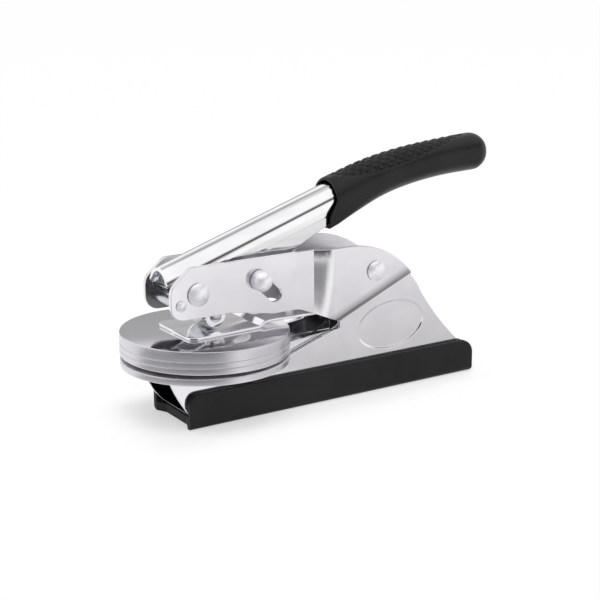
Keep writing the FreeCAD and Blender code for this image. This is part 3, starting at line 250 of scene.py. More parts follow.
def makeToneCard(settings):
    # ring: x = r cos a, y = r sin a, with a tone for each point
    shape = (settings["rings"], settings["spokes"])
    radii = np.linspace(settings["near"], settings["far"], shape[0])[:, None]
    angles = np.linspace(0, 2 * math.pi, shape[1], endpoint=False)[None, :]
    points = np.stack([radii * np.cos(angles), radii * np.sin(angles), np.full(shape, settings["height"])],
                      axis=-1)
    turned = np.degrees(angles)
    plain = np.array(settings["tones"]) > 0
    tone = np.interp(turned, np.array(settings["angles"])[plain], np.array(settings["tones"])[plain])
    ahead = np.interp(-points[..., 1], settings["ahead"], settings["aheadTones"])
    inFront = np.interp(turned, settings["angles"], np.where(plain, 0.0, 1.0))
    closeFrom, closeTo = settings["close"]
    apart = np.clip((radii - closeFrom) / (closeTo - closeFrom), 0, 1)
    tone = np.maximum(tone, settings["closeTone"] * (1 - apart) + tone * apart)
    tone = tone * (1 - inFront) + ahead * inFront
    cover = np.broadcast_to(np.clip((radii - settings["near"]) / settings["soft"], 0, 1), shape)
    index = np.arange(points[..., 0].size).reshape(shape)
    across = np.roll(index, -1, axis=1)
    quads = np.stack([index[:-1], index[1:], across[1:], across[:-1]], axis=-1)
    mesh = bpy.data.meshes.new("toneCard")
    mesh.from_pydata(points.reshape(-1, 3).tolist(), [], quads.reshape(-1, 4).tolist())
    for name, values in (("tone", tone), ("cover", cover)):
        mesh.attributes.new(name, "FLOAT", "POINT").data.foreach_set("value", values.ravel())
    card = putObject("toneCard", mesh)
    card.visible_camera = False
    card.visible_diffuse = False
    card.visible_shadow = False
    material, tree = newMaterial("grey and white card")
    tone = addNode(tree, "Attribute", {"attribute_name": "tone"}).outputs["Color"]
    cover = addNode(tree, "Attribute", {"attribute_name": "cover"}).outputs["Fac"]
    glow = addNode(tree, "Emission", {"Color": tone, "Strength": 1.0})
    mixed = addNode(tree, "MixShader", {0: cover, 1: addNode(tree, "BsdfTransparent"), 2: glow})
    addNode(tree, "OutputMaterial", {"Surface": mixed})
    mesh.materials.append(material)


def makeSoftboxes(settings):
    for number, (place, aim, width, watts) in enumerate(settings["softboxes"], start=1):
        data = bpy.data.lights.new("softbox%d" % number, "AREA")
        data.shape = "SQUARE"
        data.size = width
        data.energy = watts
        lamp = putObject("softbox%d" % number, data)
        lamp.location = place
        lamp.rotation_mode = "QUATERNION"
        lamp.rotation_quaternion = (Vector(aim) - Vector(place)).to_track_quat("-Z", "Y")
        lamp.visible_glossy = False     # metal reflects the white surroundings instead


makeFloor(studio)
makeWorld(studio)
makeToneCard(toneCard)
makeSoftboxes(studio)
bpy.context.scene.view_settings.view_transform = "Standard"
scene.cycles.max_bounces = 16
scene.cycles.glossy_bounces = 14        # polished plates face each other across small gaps
print("studio lit")


# materials; every length in them is in millimetres

def perMillimetre(size):
    # noise textures take cells per metre
    return 1 / (size * mm)


def finishMaterial(material, tree, colour, rough, normal, settings):
    shader = addNode(tree, "BsdfPrincipled", {"Base Color": colour, "Roughness": rough, "Normal": normal,
                                              **settings})
    addNode(tree, "OutputMaterial", {"Surface": shader})
    return material


middleNoise = (0.3, 0.7)    # the stretch of a noise's values that roughness runs over
satinNickel = {
    "light": "#f0eef2", "dark": "#eae8ec",
    "cloud": 11.0,          # size of the faint clouds in the plate
    "grain": 1.4,           # tumbled grain, drawn coarser than it is so that it shows
    "roughness": (0.11, 0.15),
    "grainDepth": 0.0005,
    "inside": "#1a191b",    # painted shade: the inward faces of the channel are painted near black, where shade falls
    "insideRoughness": 0.34,
    # share of the painted shade by place along X, over this span, and only under this height
    "channelShadeSpan": (-20.0, 100.0), "channelShadeTop": 34.0,
    "channelShadeShares": [(0.16, 1.0), (0.173, 0.10), (0.526, 0.10), (0.573, 0.72), (0.667, 0.96), (0.80, 0.40)],
    "channelShadeLow": 16.5, "channelShadeRear": (46.0, 66.0),      # painted shade below the strip, lighter to the open rear
    "noseShadeEnd": -4.0, "noseShadeTop": (44.0, 52.0), "noseShadeShare": 0.70,    # painted shade again under the lever's nose
    # painted shade in the inner corner of the long side fold: darker by distance across it
    "crease": (44.4, 0.0, 26.4), "creaseAcross": (-0.394, 0.0, 0.919), "creaseSpan": (-0.8, 4.4),
    "creasePaintedShade": [(0.0, 1.0), (0.13, 1.0), (0.155, 0.20), (0.27, 0.30), (0.46, 0.46), (0.65, 0.66),
                     (0.85, 0.88), (1.0, 1.0)],
}


def makeSatinNickel(values):
    # nickel-plated sheet steel, tumbled before plating: pale, satin, reflections stay soft; shade is painted
    # dark into the channel, under the lever's nose and along the long side fold
    material, tree = newMaterial("satin nickel-plated sheet")
    metres = {name: [value * mm for value in values[name]]
              for name in ("channelShadeSpan", "channelShadeRear", "noseShadeTop", "creaseSpan", "crease")}
    point = addNode(tree, "TexCoord").outputs["Object"]
    cloud, grain = [
        addNode(tree, "TexNoise", {"Vector": point, "Scale": perMillimetre(values[size]), "Detail": 3.0})
        for size in ("cloud", "grain")]
    plated = addNode(tree, "ValToRGB", {"Fac": cloud, "stops": [
        (0.35, values["dark"]), (0.65, values["light"])]})
    here = addNode(tree, "SeparateXYZ", {0: point})
    inward = addNode(tree, "Attribute", {"attribute_name": "inward"}).outputs["Fac"]
    # where the painted shade goes: under its top, below the strip, and in front of the nose end
    under, below, atNose = [
        addNode(tree, "Math", {"operation": "LESS_THAN", 0: here.outputs[axis], 1: values[end] * mm})
        for axis, end in (("Z", "channelShadeTop"), ("Z", "channelShadeLow"), ("X", "noseShadeEnd"))]
    # painted shade in the channel: the larger of the shares along it and the painted dark below the strip
    along = addNode(tree, "MapRange", {"Value": here.outputs["X"], fromEnds: metres["channelShadeSpan"]})
    shadeShares = addNode(tree, "ValToRGB", {"Fac": along, "stops": values["channelShadeShares"]})
    ahead = addNode(tree, "MapRange", {"Value": here.outputs["X"], fromEnds: metres["channelShadeRear"],
                                       toEnds: (1, 0)})
    below = addNode(tree, "Math", {"operation": "MULTIPLY", 0: below, 1: ahead})
    shadeShares = addNode(tree, "Math", {"operation": "MAXIMUM", 0: shadeShares, 1: below})
    low = addNode(tree, "Math", {"operation": "MULTIPLY", 0: under, 1: inward})
    paintedShade = addNode(tree, "Math", {"operation": "MULTIPLY", 0: low, 1: shadeShares})
    # painted shade under the lever's nose
    noseShadeFade = addNode(tree, "MapRange", {"Value": here.outputs["Z"], fromEnds: metres["noseShadeTop"],
                                         toEnds: (values["noseShadeShare"], 0)})
    nose = addNode(tree, "Math", {"operation": "MULTIPLY", 0: atNose, 1: noseShadeFade})
    nose = addNode(tree, "Math", {"operation": "MULTIPLY", 0: nose, 1: inward})
    paintedShade = addNode(tree, "Math", {"operation": "MAXIMUM", 0: paintedShade, 1: nose})
    # painted shade along the crease: distance across it from a point on it
    fromCrease = addNode(tree, "VectorMath", {"operation": "SUBTRACT", 0: point, 1: metres["crease"]})
    across = addNode(tree, "VectorMath", {"operation": "DOT_PRODUCT", 0: fromCrease,
                                          1: values["creaseAcross"]})
    beside = addNode(tree, "MapRange", {"Value": across.outputs["Value"], fromEnds: metres["creaseSpan"]})
    shade = addNode(tree, "ValToRGB", {"Fac": beside, "stops": values["creasePaintedShade"]})
    shaded = addNode(tree, "Mix", {"data_type": "RGBA", "blend_type": "MULTIPLY", "Factor": 1.0,
                                   6: plated, 7: shade}).outputs[2]
    # the painted shade of the channel and the nose is mixed over the plate's colour
    colour = addNode(tree, "Mix", {"data_type": "RGBA", "Factor": paintedShade, 6: shaded,
                                   7: linear(values["inside"])}).outputs[2]
    rough = addNode(tree, "MapRange", {"Value": grain, fromEnds: middleNoise, toEnds: values["roughness"]})
    rough = addNode(tree, "Mix", {"data_type": "FLOAT", "Factor": inward, 2: rough,
                                  3: values["insideRoughness"]})
    normal = addNode(tree, "Bump", {"Height": grain, "Strength": 1.0, "Distance": values["grainDepth"] * mm})
    return finishMaterial(material, tree, colour, rough, normal, {"Metallic": 1.0})


turned = {                  # plates with a polished face, and those with a lapped face in the jaw
    "turnedSteel": {
        "name": "turned steel, polished face",
        "light": "#e4e2e7", "dark": "#cecdd2", "faceLight": "#e0dee3",
        "line": 0.22,       # spacing of the turning lines, coarser than the tool left them
        "patch": 5.0,       # size of the duller patches on the face
        "faceRoughness": (0.08, 0.13), "rimRoughness": (0.26, 0.40),
        "faceDepth": 0.0002, "rimDepth": 0.010,
    },
    "lappedSteel": {
        "name": "turned steel, lapped face",
        "light": "#e4e2e7", "dark": "#cecdd2", "faceLight": "#dcdadf",
        "line": 0.22, "patch": 5.0, "faceRoughness": (0.50, 0.62), "rimRoughness": (0.26, 0.40),
        "faceDepth": 0.004, "rimDepth": 0.010,
    },
}


def makeTurnedSteel(values):
    # plates turned on a lathe: fine lines round the rim, and a face that was finished separately
    material, tree = newMaterial(values["name"])
    along = addNode(tree, "Attribute", {"attribute_name": "turning"}).outputs["Fac"]
    face = addNode(tree, "Attribute", {"attribute_name": "face"}).outputs["Fac"]
    cut = addNode(tree, "CombineXYZ", {"X": along})
    point = addNode(tree, "TexCoord").outputs["Object"]
    lines, patches = [
        addNode(tree, "TexNoise", {"Vector": vector, "Scale": perMillimetre(values[size]), "Detail": 2.0})
        for vector, size in ((cut, "line"), (point, "patch"))]
    rim = addNode(tree, "ValToRGB", {"Fac": lines, "stops": [(0.3, values["dark"]), (0.65, values["light"])]})
    colour = addNode(tree, "Mix", {"data_type": "RGBA", "Factor": face, 6: rim,
                                   7: linear(values["faceLight"])}).outputs[2]
    rimRough, faceRough = [
        addNode(tree, "MapRange", {"Value": pattern, fromEnds: middleNoise, toEnds: values[ends]})
        for pattern, ends in ((lines, "rimRoughness"), (patches, "faceRoughness"))]
    rough = addNode(tree, "Mix", {"data_type": "FLOAT", "Factor": face, 2: rimRough, 3: faceRough})
    faceShare = values["faceDepth"] / values["rimDepth"]
    strength = addNode(tree, "MapRange", {"Value": face, toEnds: (1, faceShare)})
    normal = addNode(tree, "Bump", {"Height": lines, "Strength": strength,
                                    "Distance": values["rimDepth"] * mm})
    return finishMaterial(material, tree, colour, rough, normal, {"Metallic": 1.0})


# finishes with one or two patterns of noise: a pattern is its cell in millimetres, its detail, and either how
# it is stretched or turning, for lines round a turned piece; tint, roughness and bump say which pattern they
# follow and how far
even = (1, 1, 1)
rubber = {"Metallic": 0.0, "IOR": 1.5, "Specular IOR Level": 0.25}
simpleFinishes = {
    # buffed and chromed sheet: a near mirror, with faint buffing smears and the press tool's waviness
    "brightChrome": {
        "name": "buffed bright chrome", "light": "#fbfbfc", "dark": "#f3f3f5",
        "patterns": {"smear": (6.0, 4.0, (0.25, 1, 1)), "wave": (14.0, 1.0, even)},
        "tint": ("smear", 0.35, 0.6), "roughness": ("smear", 0.07, 0.12), "bump": ("wave", 0.006, 1.0),
    },
    # cold-headed rivets, plated: soft highlights, faintly marked by the rivet set; dulled plating throws part
    # of the light back evenly
    "brightRivet": {
        "name": "headed and plated rivet steel", "light": "#f6f5f8", "dark": "#f1f0f4",
        "patterns": {"dimple": (0.9, 2.0, even)},
        "tint": ("dimple", 0.3, 0.7), "roughness": ("dimple", 0.30, 0.36), "bump": ("dimple", 0.0015, 1.0),
        "shader": {"Metallic": 0.55},
    },
    # drawn or cut bar in bright zinc: greyer and bluer than nickel, with fine lines round it
    "brightZinc": {
        "name": "bright zinc-plated steel", "light": "#dcdee2", "dark": "#bfc1c6",
        "patterns": {"line": (0.30, 2.0, "turning")},
        "tint": ("line", 0.3, 0.7), "roughness": ("line", 0.16, 0.28), "bump": ("line", 0.004, 1.0),
    },
    # blank seal plate, ready to be engraved: frosted grey, no bright reflections
    "sealSteel": {
        "name": "frosted seal plate steel", "light": "#9c9ca0", "dark": "#737377",
        "patterns": {"etch": (0.5, 4.0, even)},
        "tint": ("etch", 0.35, 0.65), "roughness": ("etch", 0.30, 0.45), "bump": ("etch", 0.01, 1.0),
    },
    # hard-drawn wire: dark grey, with scratches along the wire
    "springWire": {
        "name": "hard-drawn spring wire", "light": "#6f7075", "dark": "#4b4c50",
        "patterns": {"scratch": (0.4, 3.0, (1, 0.2, 1))},
        "tint": ("scratch", 0.3, 0.7), "roughness": ("scratch", 0.25, 0.38), "bump": ("scratch", 0.004, 1.0),
    },
    # moulded rubber: nearly black, matt, with the fine grain of a blasted mould
    "bootRubber": {
        "name": "moulded boot rubber", "light": "#1e1e1f", "dark": "#1a1a1b",
        "patterns": {"cloud": (12.0, 2.0, even), "grain": (0.45, 3.0, even)},
        "tint": ("cloud", 0.35, 0.65), "roughness": ("grain", 0.50, 0.62), "bump": ("grain", 0.008, 0.6),
        "shader": rubber,
    },
    # the same rubber in another mix, a little glossier from hands
    "gripRubber": {
        "name": "moulded grip rubber", "light": "#1c1c1d", "dark": "#171718",
        "patterns": {"cloud": (12.0, 2.0, even), "grain": (0.60, 3.0, even)},
        "tint": ("cloud", 0.35, 0.65), "roughness": ("grain", 0.30, 0.40), "bump": ("grain", 0.006, 0.6),
        "shader": rubber,
    },
}


def makeSimpleFinish(values):
    material, tree = newMaterial(values["name"])
    patterns = {}
    for name, (cell, detail, stretch) in values["patterns"].items():
        if stretch == "turning":
            along = addNode(tree, "Attribute", {"attribute_name": "turning"}).outputs["Fac"]
            place = addNode(tree, "CombineXYZ", {"X": along})
        else:
            point = addNode(tree, "TexCoord").outputs["Object"]
            place = addNode(tree, "Mapping", {"Vector": point, "Scale": stretch})
        patterns[name] = addNode(tree, "TexNoise", {"Vector": place, "Scale": perMillimetre(cell),
                                                    "Detail": detail})
    follows, darkAt, lightAt = values["tint"]
    colour = addNode(tree, "ValToRGB", {"Fac": patterns[follows], "stops": [
        (darkAt, values["dark"]), (lightAt, values["light"])]})
    follows, *ends = values["roughness"]
    rough = addNode(tree, "MapRange", {"Value": patterns[follows], fromEnds: middleNoise, toEnds: ends})
    follows, depth, strength = values["bump"]
    normal = addNode(tree, "Bump", {"Height": patterns[follows], "Strength": strength,
                                    "Distance": depth * mm})
    return finishMaterial(material, tree, colour, rough, normal, values.get("shader", {"Metallic": 1.0}))


finishes = {"satinNickel": makeSatinNickel(satinNickel)}
finishes.update({name: makeTurnedSteel(values) for name, values in turned.items()})
finishes.update({name: makeSimpleFinish(values) for name, values in simpleFinishes.items()})
print("finishes made:", len(finishes))


# pieces; lengths are in millimetres until a mesh is made

def putPiece(name, mesh, node, finish):
    # the piece stands for the CAD node: attached to the same body, with the node hidden
    piece = putObject(name, mesh)
    mesh.materials.append(finishes[finish])
    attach(piece, bodyOf[node])
    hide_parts(node)
    return piece


def closeMesh(mesh, sharpAngle, merged=1e-6):
    # merges seams and poles, turns the faces outward and keeps edges over the angle sharp
    shell = bmesh.new()
    shell.from_mesh(mesh)
    bmesh.ops.remove_doubles(shell, verts=shell.verts, dist=merged)
    bmesh.ops.recalc_face_normals(shell, faces=shell.faces)
    shell.to_mesh(mesh)
    shell.free()
    mesh.polygons.foreach_set("use_smooth", np.ones(len(mesh.polygons), bool))
    mesh.set_sharp_from_angle(angle=math.radians(sharpAngle))
    mesh.update()


def gridQuads(rows, columns, wrapRows=False):
    # the four corners of each cell of a grid whose columns close on themselves
    row = np.arange(rows if wrapRows else rows - 1)[:, None]
    column = np.arange(columns)[None, :]
    nextRow = (row + 1) % rows
    nextColumn = (column + 1) % columns
    quads = np.stack([row * columns + column, row * columns + nextColumn,
                      nextRow * columns + nextColumn, nextRow * columns + column], axis=-1)
    return quads.reshape(-1, 4)


def gridMesh(name, grids, marks=(), wrapRows=False, sharpAngle=32.0):
    # one closed skin for each grid of points; marks are (attribute name, value for each point)
    points = np.concatenate([grid.reshape(-1, 3) for grid in grids])
    quads, first = [], 0
    for grid in grids:
        quads.append(gridQuads(*grid.shape[:2], wrapRows) + first)
        first += grid.shape[0] * grid.shape[1]
    mesh = bpy.data.meshes.new(name)
    mesh.from_pydata((points * mm).tolist(), [], np.concatenate(quads).tolist())
    for markName, values in marks:
        attribute = mesh.attributes.new(markName, "FLOAT", "POINT")
        attribute.data.foreach_set("value", np.tile(values.ravel(), len(grids)).astype(np.float32))
    closeMesh(mesh, sharpAngle)
    return mesh


axes = {                    # x and z of the axes that run across, x and y of the one through the plates
    "pivot": (-7.0, 42.4), "nose": (-13.0, 39.5), "rear": (57.7, 41.8), "roller": (0.6, 33.57),
    "hinge": (50.0, 25.85), "lock": (14.7, 44.1), "plates": (0, 0),
}
jawsOpen = 0.95             # degrees at rest


def jawOpened(points):
    # turned about the hinge pin by the angle that the jaws stand open at rest
    angle = math.radians(jawsOpen)
    hingeX, hingeZ = axes["hinge"]
    x, z = points[..., 0] - hingeX, points[..., 2] - hingeZ
    return np.stack([hingeX + x * math.cos(angle) + z * math.sin(angle), points[..., 1],
                     hingeZ - x * math.sin(angle) + z * math.cos(angle)], axis=-1)


def roundedProfile(corners, closed, arcSteps=4):
    # corners are (distance from the axis, place along it, rounding); a rounded corner becomes an
    # arc that touches both its sides, centre + radius * (cos a, sin a)
    corners = np.array(corners, float)
    stretches = []
    for number, (distance, along, radius) in enumerate(corners):
        here = np.array([distance, along])
        if radius == 0 or (not closed and number in (0, len(corners) - 1)):
            stretches.append(here[None, :])
            continue
        toBefore = corners[number - 1, :2] - here
        toAfter = corners[(number + 1) % len(corners), :2] - here
        toBefore /= np.linalg.norm(toBefore)
        toAfter /= np.linalg.norm(toAfter)
        half = math.acos(np.clip(toBefore @ toAfter, -1, 1)) / 2
        middle = (toBefore + toAfter) / np.linalg.norm(toBefore + toAfter)
        centre = here + middle * radius / math.sin(half)
        start = here + toBefore * radius / math.tan(half) - centre
        end = here + toAfter * radius / math.tan(half) - centre
        sweep = math.atan2(start[0] * end[1] - start[1] * end[0], start @ end)
        angles = math.atan2(start[1], start[0]) + sweep * np.linspace(0, 1, arcSteps + 1)
        stretches.append(centre + radius * np.stack([np.cos(angles), np.sin(angles)], axis=-1))
    return np.concatenate(stretches)


undercut = {"share": 0.3, "edge": 0.05, "lip": 0.30, "edgeLow": 0.24, "neckTop": 0.22}   # under a domed head


def domedProfile(radius, height, foot, rim, hole, steps=14):
    # cap of a sphere, R sin a out and foot + rim + height - R (1 - cos a) along, on a short upright
    # rim that is undercut towards the hole, so that a dark line shows round it
    sphere = (radius ** 2 + height ** 2) / (2 * height)
    angles = np.linspace(0, math.asin(radius / sphere), steps + 1)
    dome = np.stack([sphere * np.sin(angles), foot + rim + height - sphere * (1 - np.cos(angles))], axis=-1)
    neck = radius - undercut["share"] * (radius - hole)
    return np.concatenate([dome, [
        [radius, foot + undercut["lip"]], [radius - undercut["edge"], foot + undercut["edgeLow"]],
        [neck, foot + undercut["neckTop"]], [neck, foot]]])


def spun(profile, centre, axis, segments):
    # profile (distance, along) turned about the axis: centre + distance (cos a, sin a) + along
    angle = np.linspace(0, 2 * math.pi, segments, endpoint=False)[None, :]
    distance, along = profile[:, 0][:, None], profile[:, 1][:, None]
    first = distance * np.cos(angle)
    second = distance * np.sin(angle)
    along = np.broadcast_to(along, first.shape)
    if axis == "y":
        return np.stack([centre[0] + first, along, centre[1] + second], axis=-1)
    return np.stack([centre[0] + first, centre[1] + second, along], axis=-1)


def turnedMarks(profile, segments, closed):
    # turning is the length run along the profile in metres; face is 1 where it runs square to the axis
    before = np.roll(profile, 1, axis=0)
    step = profile - before
    if not closed:
        step[0] = 0
    length = np.cumsum(np.hypot(step[:, 0], step[:, 1])) * mm
    slope = np.roll(profile, -1, axis=0) - before
    face = np.abs(slope[:, 0]) / np.maximum(np.hypot(slope[:, 0], slope[:, 1]), 1e-9)
    return [("turning", np.repeat(length, segments)), ("face", np.repeat(face, segments))]


def turnedPiece(name, node, finish, profile, axisName, axis="y", closed=False, opened=False,
                mirrored=False, segments=96):
    grid = spun(profile, axes[axisName], axis, segments)
    if opened:
        grid = jawOpened(grid)
    grids = [grid, grid * (1, -1, 1)] if mirrored else [grid]
    mesh = gridMesh(name, grids, turnedMarks(profile, segments, closed), wrapRows=closed)
    return putPiece(name, mesh, node, finish)


def headedProfile(shank, head, halfLength, height, rimShare=0.3):
    # rivet with a domed head at each end, from one tip down to the other
    rim = height * rimShare
    top = np.concatenate([domedProfile(head, height - rim, halfLength, rim, shank), [[shank, halfLength]]])
    return np.concatenate([top, (top * (1, -1))[::-1]])


def tubeProfile(inner, outer, low, high, edge):
    return roundedProfile([(inner, low, edge), (outer, low, edge), (outer, high, edge),
                           (inner, high, edge)], closed=True)


def barProfile(radius, low, high, edge):
    return roundedProfile([(0, low, 0), (radius, low, edge), (radius, high, edge), (0, high, 0)],
                          closed=False)


rivets = {                  # shank radius, head radius, half the gripped length, head height
    "pivotRivet": ("pivot_rivet", "brightRivet", "pivot", (2.5, 3.65, 9.5, 1.9)),
    "noseRivet": ("nose_rivet", "brightRivet", "nose", (1.0, 1.7, 9.5, 0.8)),
    "rearRivet": ("rear_rivet", "brightRivet", "rear", (2.2, 3.4, 12.4, 1.8)),
    "rollerAxle": ("roller_axle", "brightZinc", "roller", (1.6, 1.9, 6.3, 0.6)),
}
for name, (node, finish, axisName, sizes) in rivets.items():
    turnedPiece(name, node, finish, headedProfile(*sizes), axisName)

tubes = {                   # inner and outer radius, from and to along the axis, edge rounding; one or a pair
    "noseSpacer": ("nose_spacer", "nose", (1.05, 1.5, -8.0, 8.0, 0.1), False),
    "rearSpacer": ("rear_spacer", "rear", (2.25, 3.3, -10.9, 10.9, 0.15), False),
    "leverBush": ("lever_bush", "pivot", (2.55, 3.8, -5.1, 5.1, 0.2), False),
    "pressRoller": ("press_roller", "roller", (1.65, 4.0, -4.8, 4.8, 0.3), False),
    "pivotWashers": ("pivot_washers", "pivot", (2.55, 4.2, -8.0, -6.6, 0.15), True),
}
for name, (node, axisName, sizes, mirrored) in tubes.items():
    turnedPiece(name, node, "brightZinc", tubeProfile(*sizes), axisName, closed=True, mirrored=mirrored)

pins = {                    # radius, from and to along the axis, edge rounding
    "hingePin": ("hinge_pin", "hinge", (1.45, -9.1, 9.1, 0.2)),
    "lockPin": ("lock_pin", "lock", (2.2, -13.2, 13.2, 0.3)),
}
for name, (node, axisName, sizes) in pins.items():
    turnedPiece(name, node, "brightZinc", barProfile(*sizes), axisName)

lockKnob = {"radius": 3.4, "bore": 2.25, "from": 9.8, "to": 14.4, "dome": 2.4, "blind": 13.25, "steps": 20}


def knobProfile(values):
    # domed outside, blind bore inside: a closed loop in half section
    foot, bore, blind = values["from"], values["bore"], values["blind"]
    rim = values["to"] - values["dome"] - foot
    outside = domedProfile(values["radius"], values["dome"], foot, rim, bore, values["steps"])
    return np.concatenate([outside, [[bore, foot], [bore, blind], [0, blind]]]) * (1, -1)


turnedPiece("lockKnobs", "lock_knobs", "brightRivet", knobProfile(lockKnob), "lock", mirrored=True)
print("rivets, spacers, roller and lock made")

plateSegments = 256
plates = {                  # radius, bottom, top, edge rounding; finish; whether it opens with the upper jaw
    "upperDie": ("upper_die", (27.0, 20.15, 22.15, 0.35), "lappedSteel", True),
    "backingPlate": ("backing_plate", (27.0, 22.15, 23.95, 0.14), "turnedSteel", True),
    "upperDisc": ("upper_disc", (27.0, 23.95, 27.45, 0.30), "turnedSteel", True),
    "lowerDie": ("lower_die", (23.0, 19.0, 20.0, 0.10), "sealSteel", False),
}
for name, (node, sizes, finish, opened) in plates.items():
    turnedPiece(name, node, finish, barProfile(*sizes), "plates", "z", opened=opened, segments=plateSegments)

lowerDisc = {
    "radius": 27.0, "bottom": 17.8, "top": 20.0, "recess": 23.05, "recessFloor": 19.0,
    "lowEdge": 0.25, "highEdge": 0.40, "recessEdge": 0.1,
}


def recessedProfile(values):
    # half section of a disc with a shallow recess for the die in its top
    radius, recess = values["radius"], values["recess"]
    bottom, top, floor = values["bottom"], values["top"], values["recessFloor"]
    return roundedProfile([
        (0, bottom, 0), (radius, bottom, values["lowEdge"]), (radius, top, values["highEdge"]),
        (recess, top, values["recessEdge"]), (recess, floor, 0), (0, floor, 0)], closed=False)


turnedPiece("lowerDisc", "lower_disc", "lappedSteel", recessedProfile(lowerDisc), "plates", "z",
            segments=plateSegments)
print("seal plates made")


lever = {
    "nose": (-15.8, 50.2), "angle": 18.2,       # where the top line starts, and its slope in degrees
    "edgeAt": (28.8, 50.8), "edgeSlope": 26.6,  # a point on the side's lower edge, and its slope
    "halfWidth": 6.3, "wall": 1.2,
    "archEnd": 58.1, "archStep": 5,             # cuts every 5 degrees round the arch, up to this x
    "archBand": (4.9, 6.5),                     # radii of the points that belong to the arch
}
sheets = {                  # node, finish, bevel width of the cut edges
    "pressFrame": ("press_frame", "satinNickel", 0.18),
    "leverShell": ("lever_shell", "brightChrome", 0.20),
    "upperStrip": ("upper_strip", "brightChrome", 0.30),
    "lowerStrip": ("lower_strip", "brightChrome", 0.16),
    "rubberBoot": ("rubber_boot", "bootRubber", 0.35),
}
sheetCopy = {
    "merged": 0.002, "shortest": 0.05,      # closer points become one, shorter edges are merged away
    "cutMerged": 0.0001,                    # the same where a plane cuts a sheet across
    "flatWithin": 0.6, "cutAngle": 42.0, "smoothWithin": 50.0,  # degrees
    "bevelSegments": 3,
    "inwardTurn": 0.3,      # a face whose normal leans in by this much looks inward
    "creaseEnd": (71.3, 11.8, 40.6), "creaseReach": 1.6,        # left sharp, the fold runs out there
    # the arms swing out to the cheeks in a curve: start, length, CAD length, start and end half widths
    "swing": (35.2, 6.5, 3.5, 9.5, 12.4), "swingSteps": 16, "swingLow": 25.2, "thickness": 1.5,
    "oval": {"centre": (65.2, 21.9), "half": (13.8, 8.2), "tilt": 4.0, "reach": 1.03,
             "raised": -11.2, "within": 0.1, "sunk": -10.6, "shrink": 0.95,
             "cutAngle": 15.0, "cutReach": (0.8, 1.15), "cutDepth": (-11.3, -10.5)},
    "flatWidth": 0.9,       # faces wider than this are flat parts of the sheet, narrower ones are folds
    "flatWeight": 1000.0,   # how much more a flat part's normal counts
}


def cornerNormals(mesh, sharpAngle, flatWidth, flatWeight):
    # each face corner gets the mean normal of the faces round its point that turn less than the
    # sharp angle from its own, weighted by corner angle; flat parts keep their own normal and pass
    # it to the folds that touch them
    points = np.empty((len(mesh.vertices), 3))
    mesh.vertices.foreach_get("co", points.ravel())
    corner = np.empty(len(mesh.loops), int)
    mesh.loops.foreach_get("vertex_index", corner)
    first, total = np.empty(len(mesh.polygons), int), np.empty(len(mesh.polygons), int)
    mesh.polygons.foreach_get("loop_start", first)
    mesh.polygons.foreach_get("loop_total", total)
    normals, area = np.empty((len(first), 3)), np.empty(len(first))
    mesh.polygons.foreach_get("normal", normals.ravel())
    mesh.polygons.foreach_get("area", area)
    face = np.repeat(np.arange(len(first)), total)
    place = np.arange(len(corner)) - first[face]
    after = first[face] + (place + 1) % total[face]
    before = first[face] + (place - 1) % total[face]
    ahead = points[corner[after]] - points[corner]
    behind = points[corner[before]] - points[corner]
    length = np.linalg.norm(ahead, axis=1)
    cosine = (ahead * behind).sum(axis=1) / np.maximum(length * np.linalg.norm(behind, axis=1), 1e-12)
    flat = 2 * area / np.add.reduceat(length, first) > flatWidth * mm
    weight = np.arccos(np.clip(cosine, -1, 1)) * np.where(flat[face], flatWeight, 1.0)
    order = np.argsort(corner, kind="stable")
    shared = np.bincount(corner, minlength=len(points))
    start = np.concatenate([[0], np.cumsum(shared)[:-1]])
    mates = shared[corner]
    one = np.repeat(np.arange(len(corner)), mates)
    run = np.arange(len(one)) - np.repeat(np.cumsum(mates) - mates, mates)
    other = order[start[corner[one]] + run]
    alike = (normals[face[one]] * normals[face[other]]).sum(axis=1) > math.cos(math.radians(sharpAngle))
    result = np.zeros((len(corner), 3))
    np.add.at(result, one, normals[face[other]] * (weight[other] * alike)[:, None])
    result = np.where(flat[face][:, None], normals[face], result)
    result /= np.maximum(np.linalg.norm(result, axis=1, keepdims=True), 1e-12)
    mesh.normals_split_custom_set(result.tolist())


def cutAcross(shell, wanted, place, normal):
    # cuts the faces whose middle is wanted by a plane
    faces = [face for face in shell.faces if wanted(face.calc_center_median())]
    parts = faces + list({line for face in faces for line in face.edges}) + list(
        {point for face in faces for point in face.verts})
    bmesh.ops.bisect_plane(shell, geom=parts, dist=sheetCopy["cutMerged"] * mm, plane_co=place,
                           plane_no=normal)


def curveArms(shell):
    # cuts the straight slant between arm and cheek across and moves the cuts onto a parabola,
    # half width = end - (end - start) (1 - u)^2 with u the share of the length
    start, length, cadLength, inner, outer = sheetCopy["swing"]
    steps, low, thickness = sheetCopy["swingSteps"], sheetCopy["swingLow"] * mm, sheetCopy["thickness"]
    for step in range(1, steps):
        along = start + length * step / steps
        cutAcross(shell, lambda middle: middle.z > low, (along * mm, 0, 0), (1, 0, 0))
    for point in shell.verts:
        share = (point.co.x / mm - start) / length
        if 0 < share < 1 and point.co.z > low:
            curved = outer - (outer - inner) * (1 - share) ** 2
            straight = inner + (outer - inner) * min(share * length / cadLength, 1)
            within = abs(point.co.y) / mm < straight - thickness / 2
            point.co.y = math.copysign((curved - thickness * within) * mm, point.co.y)


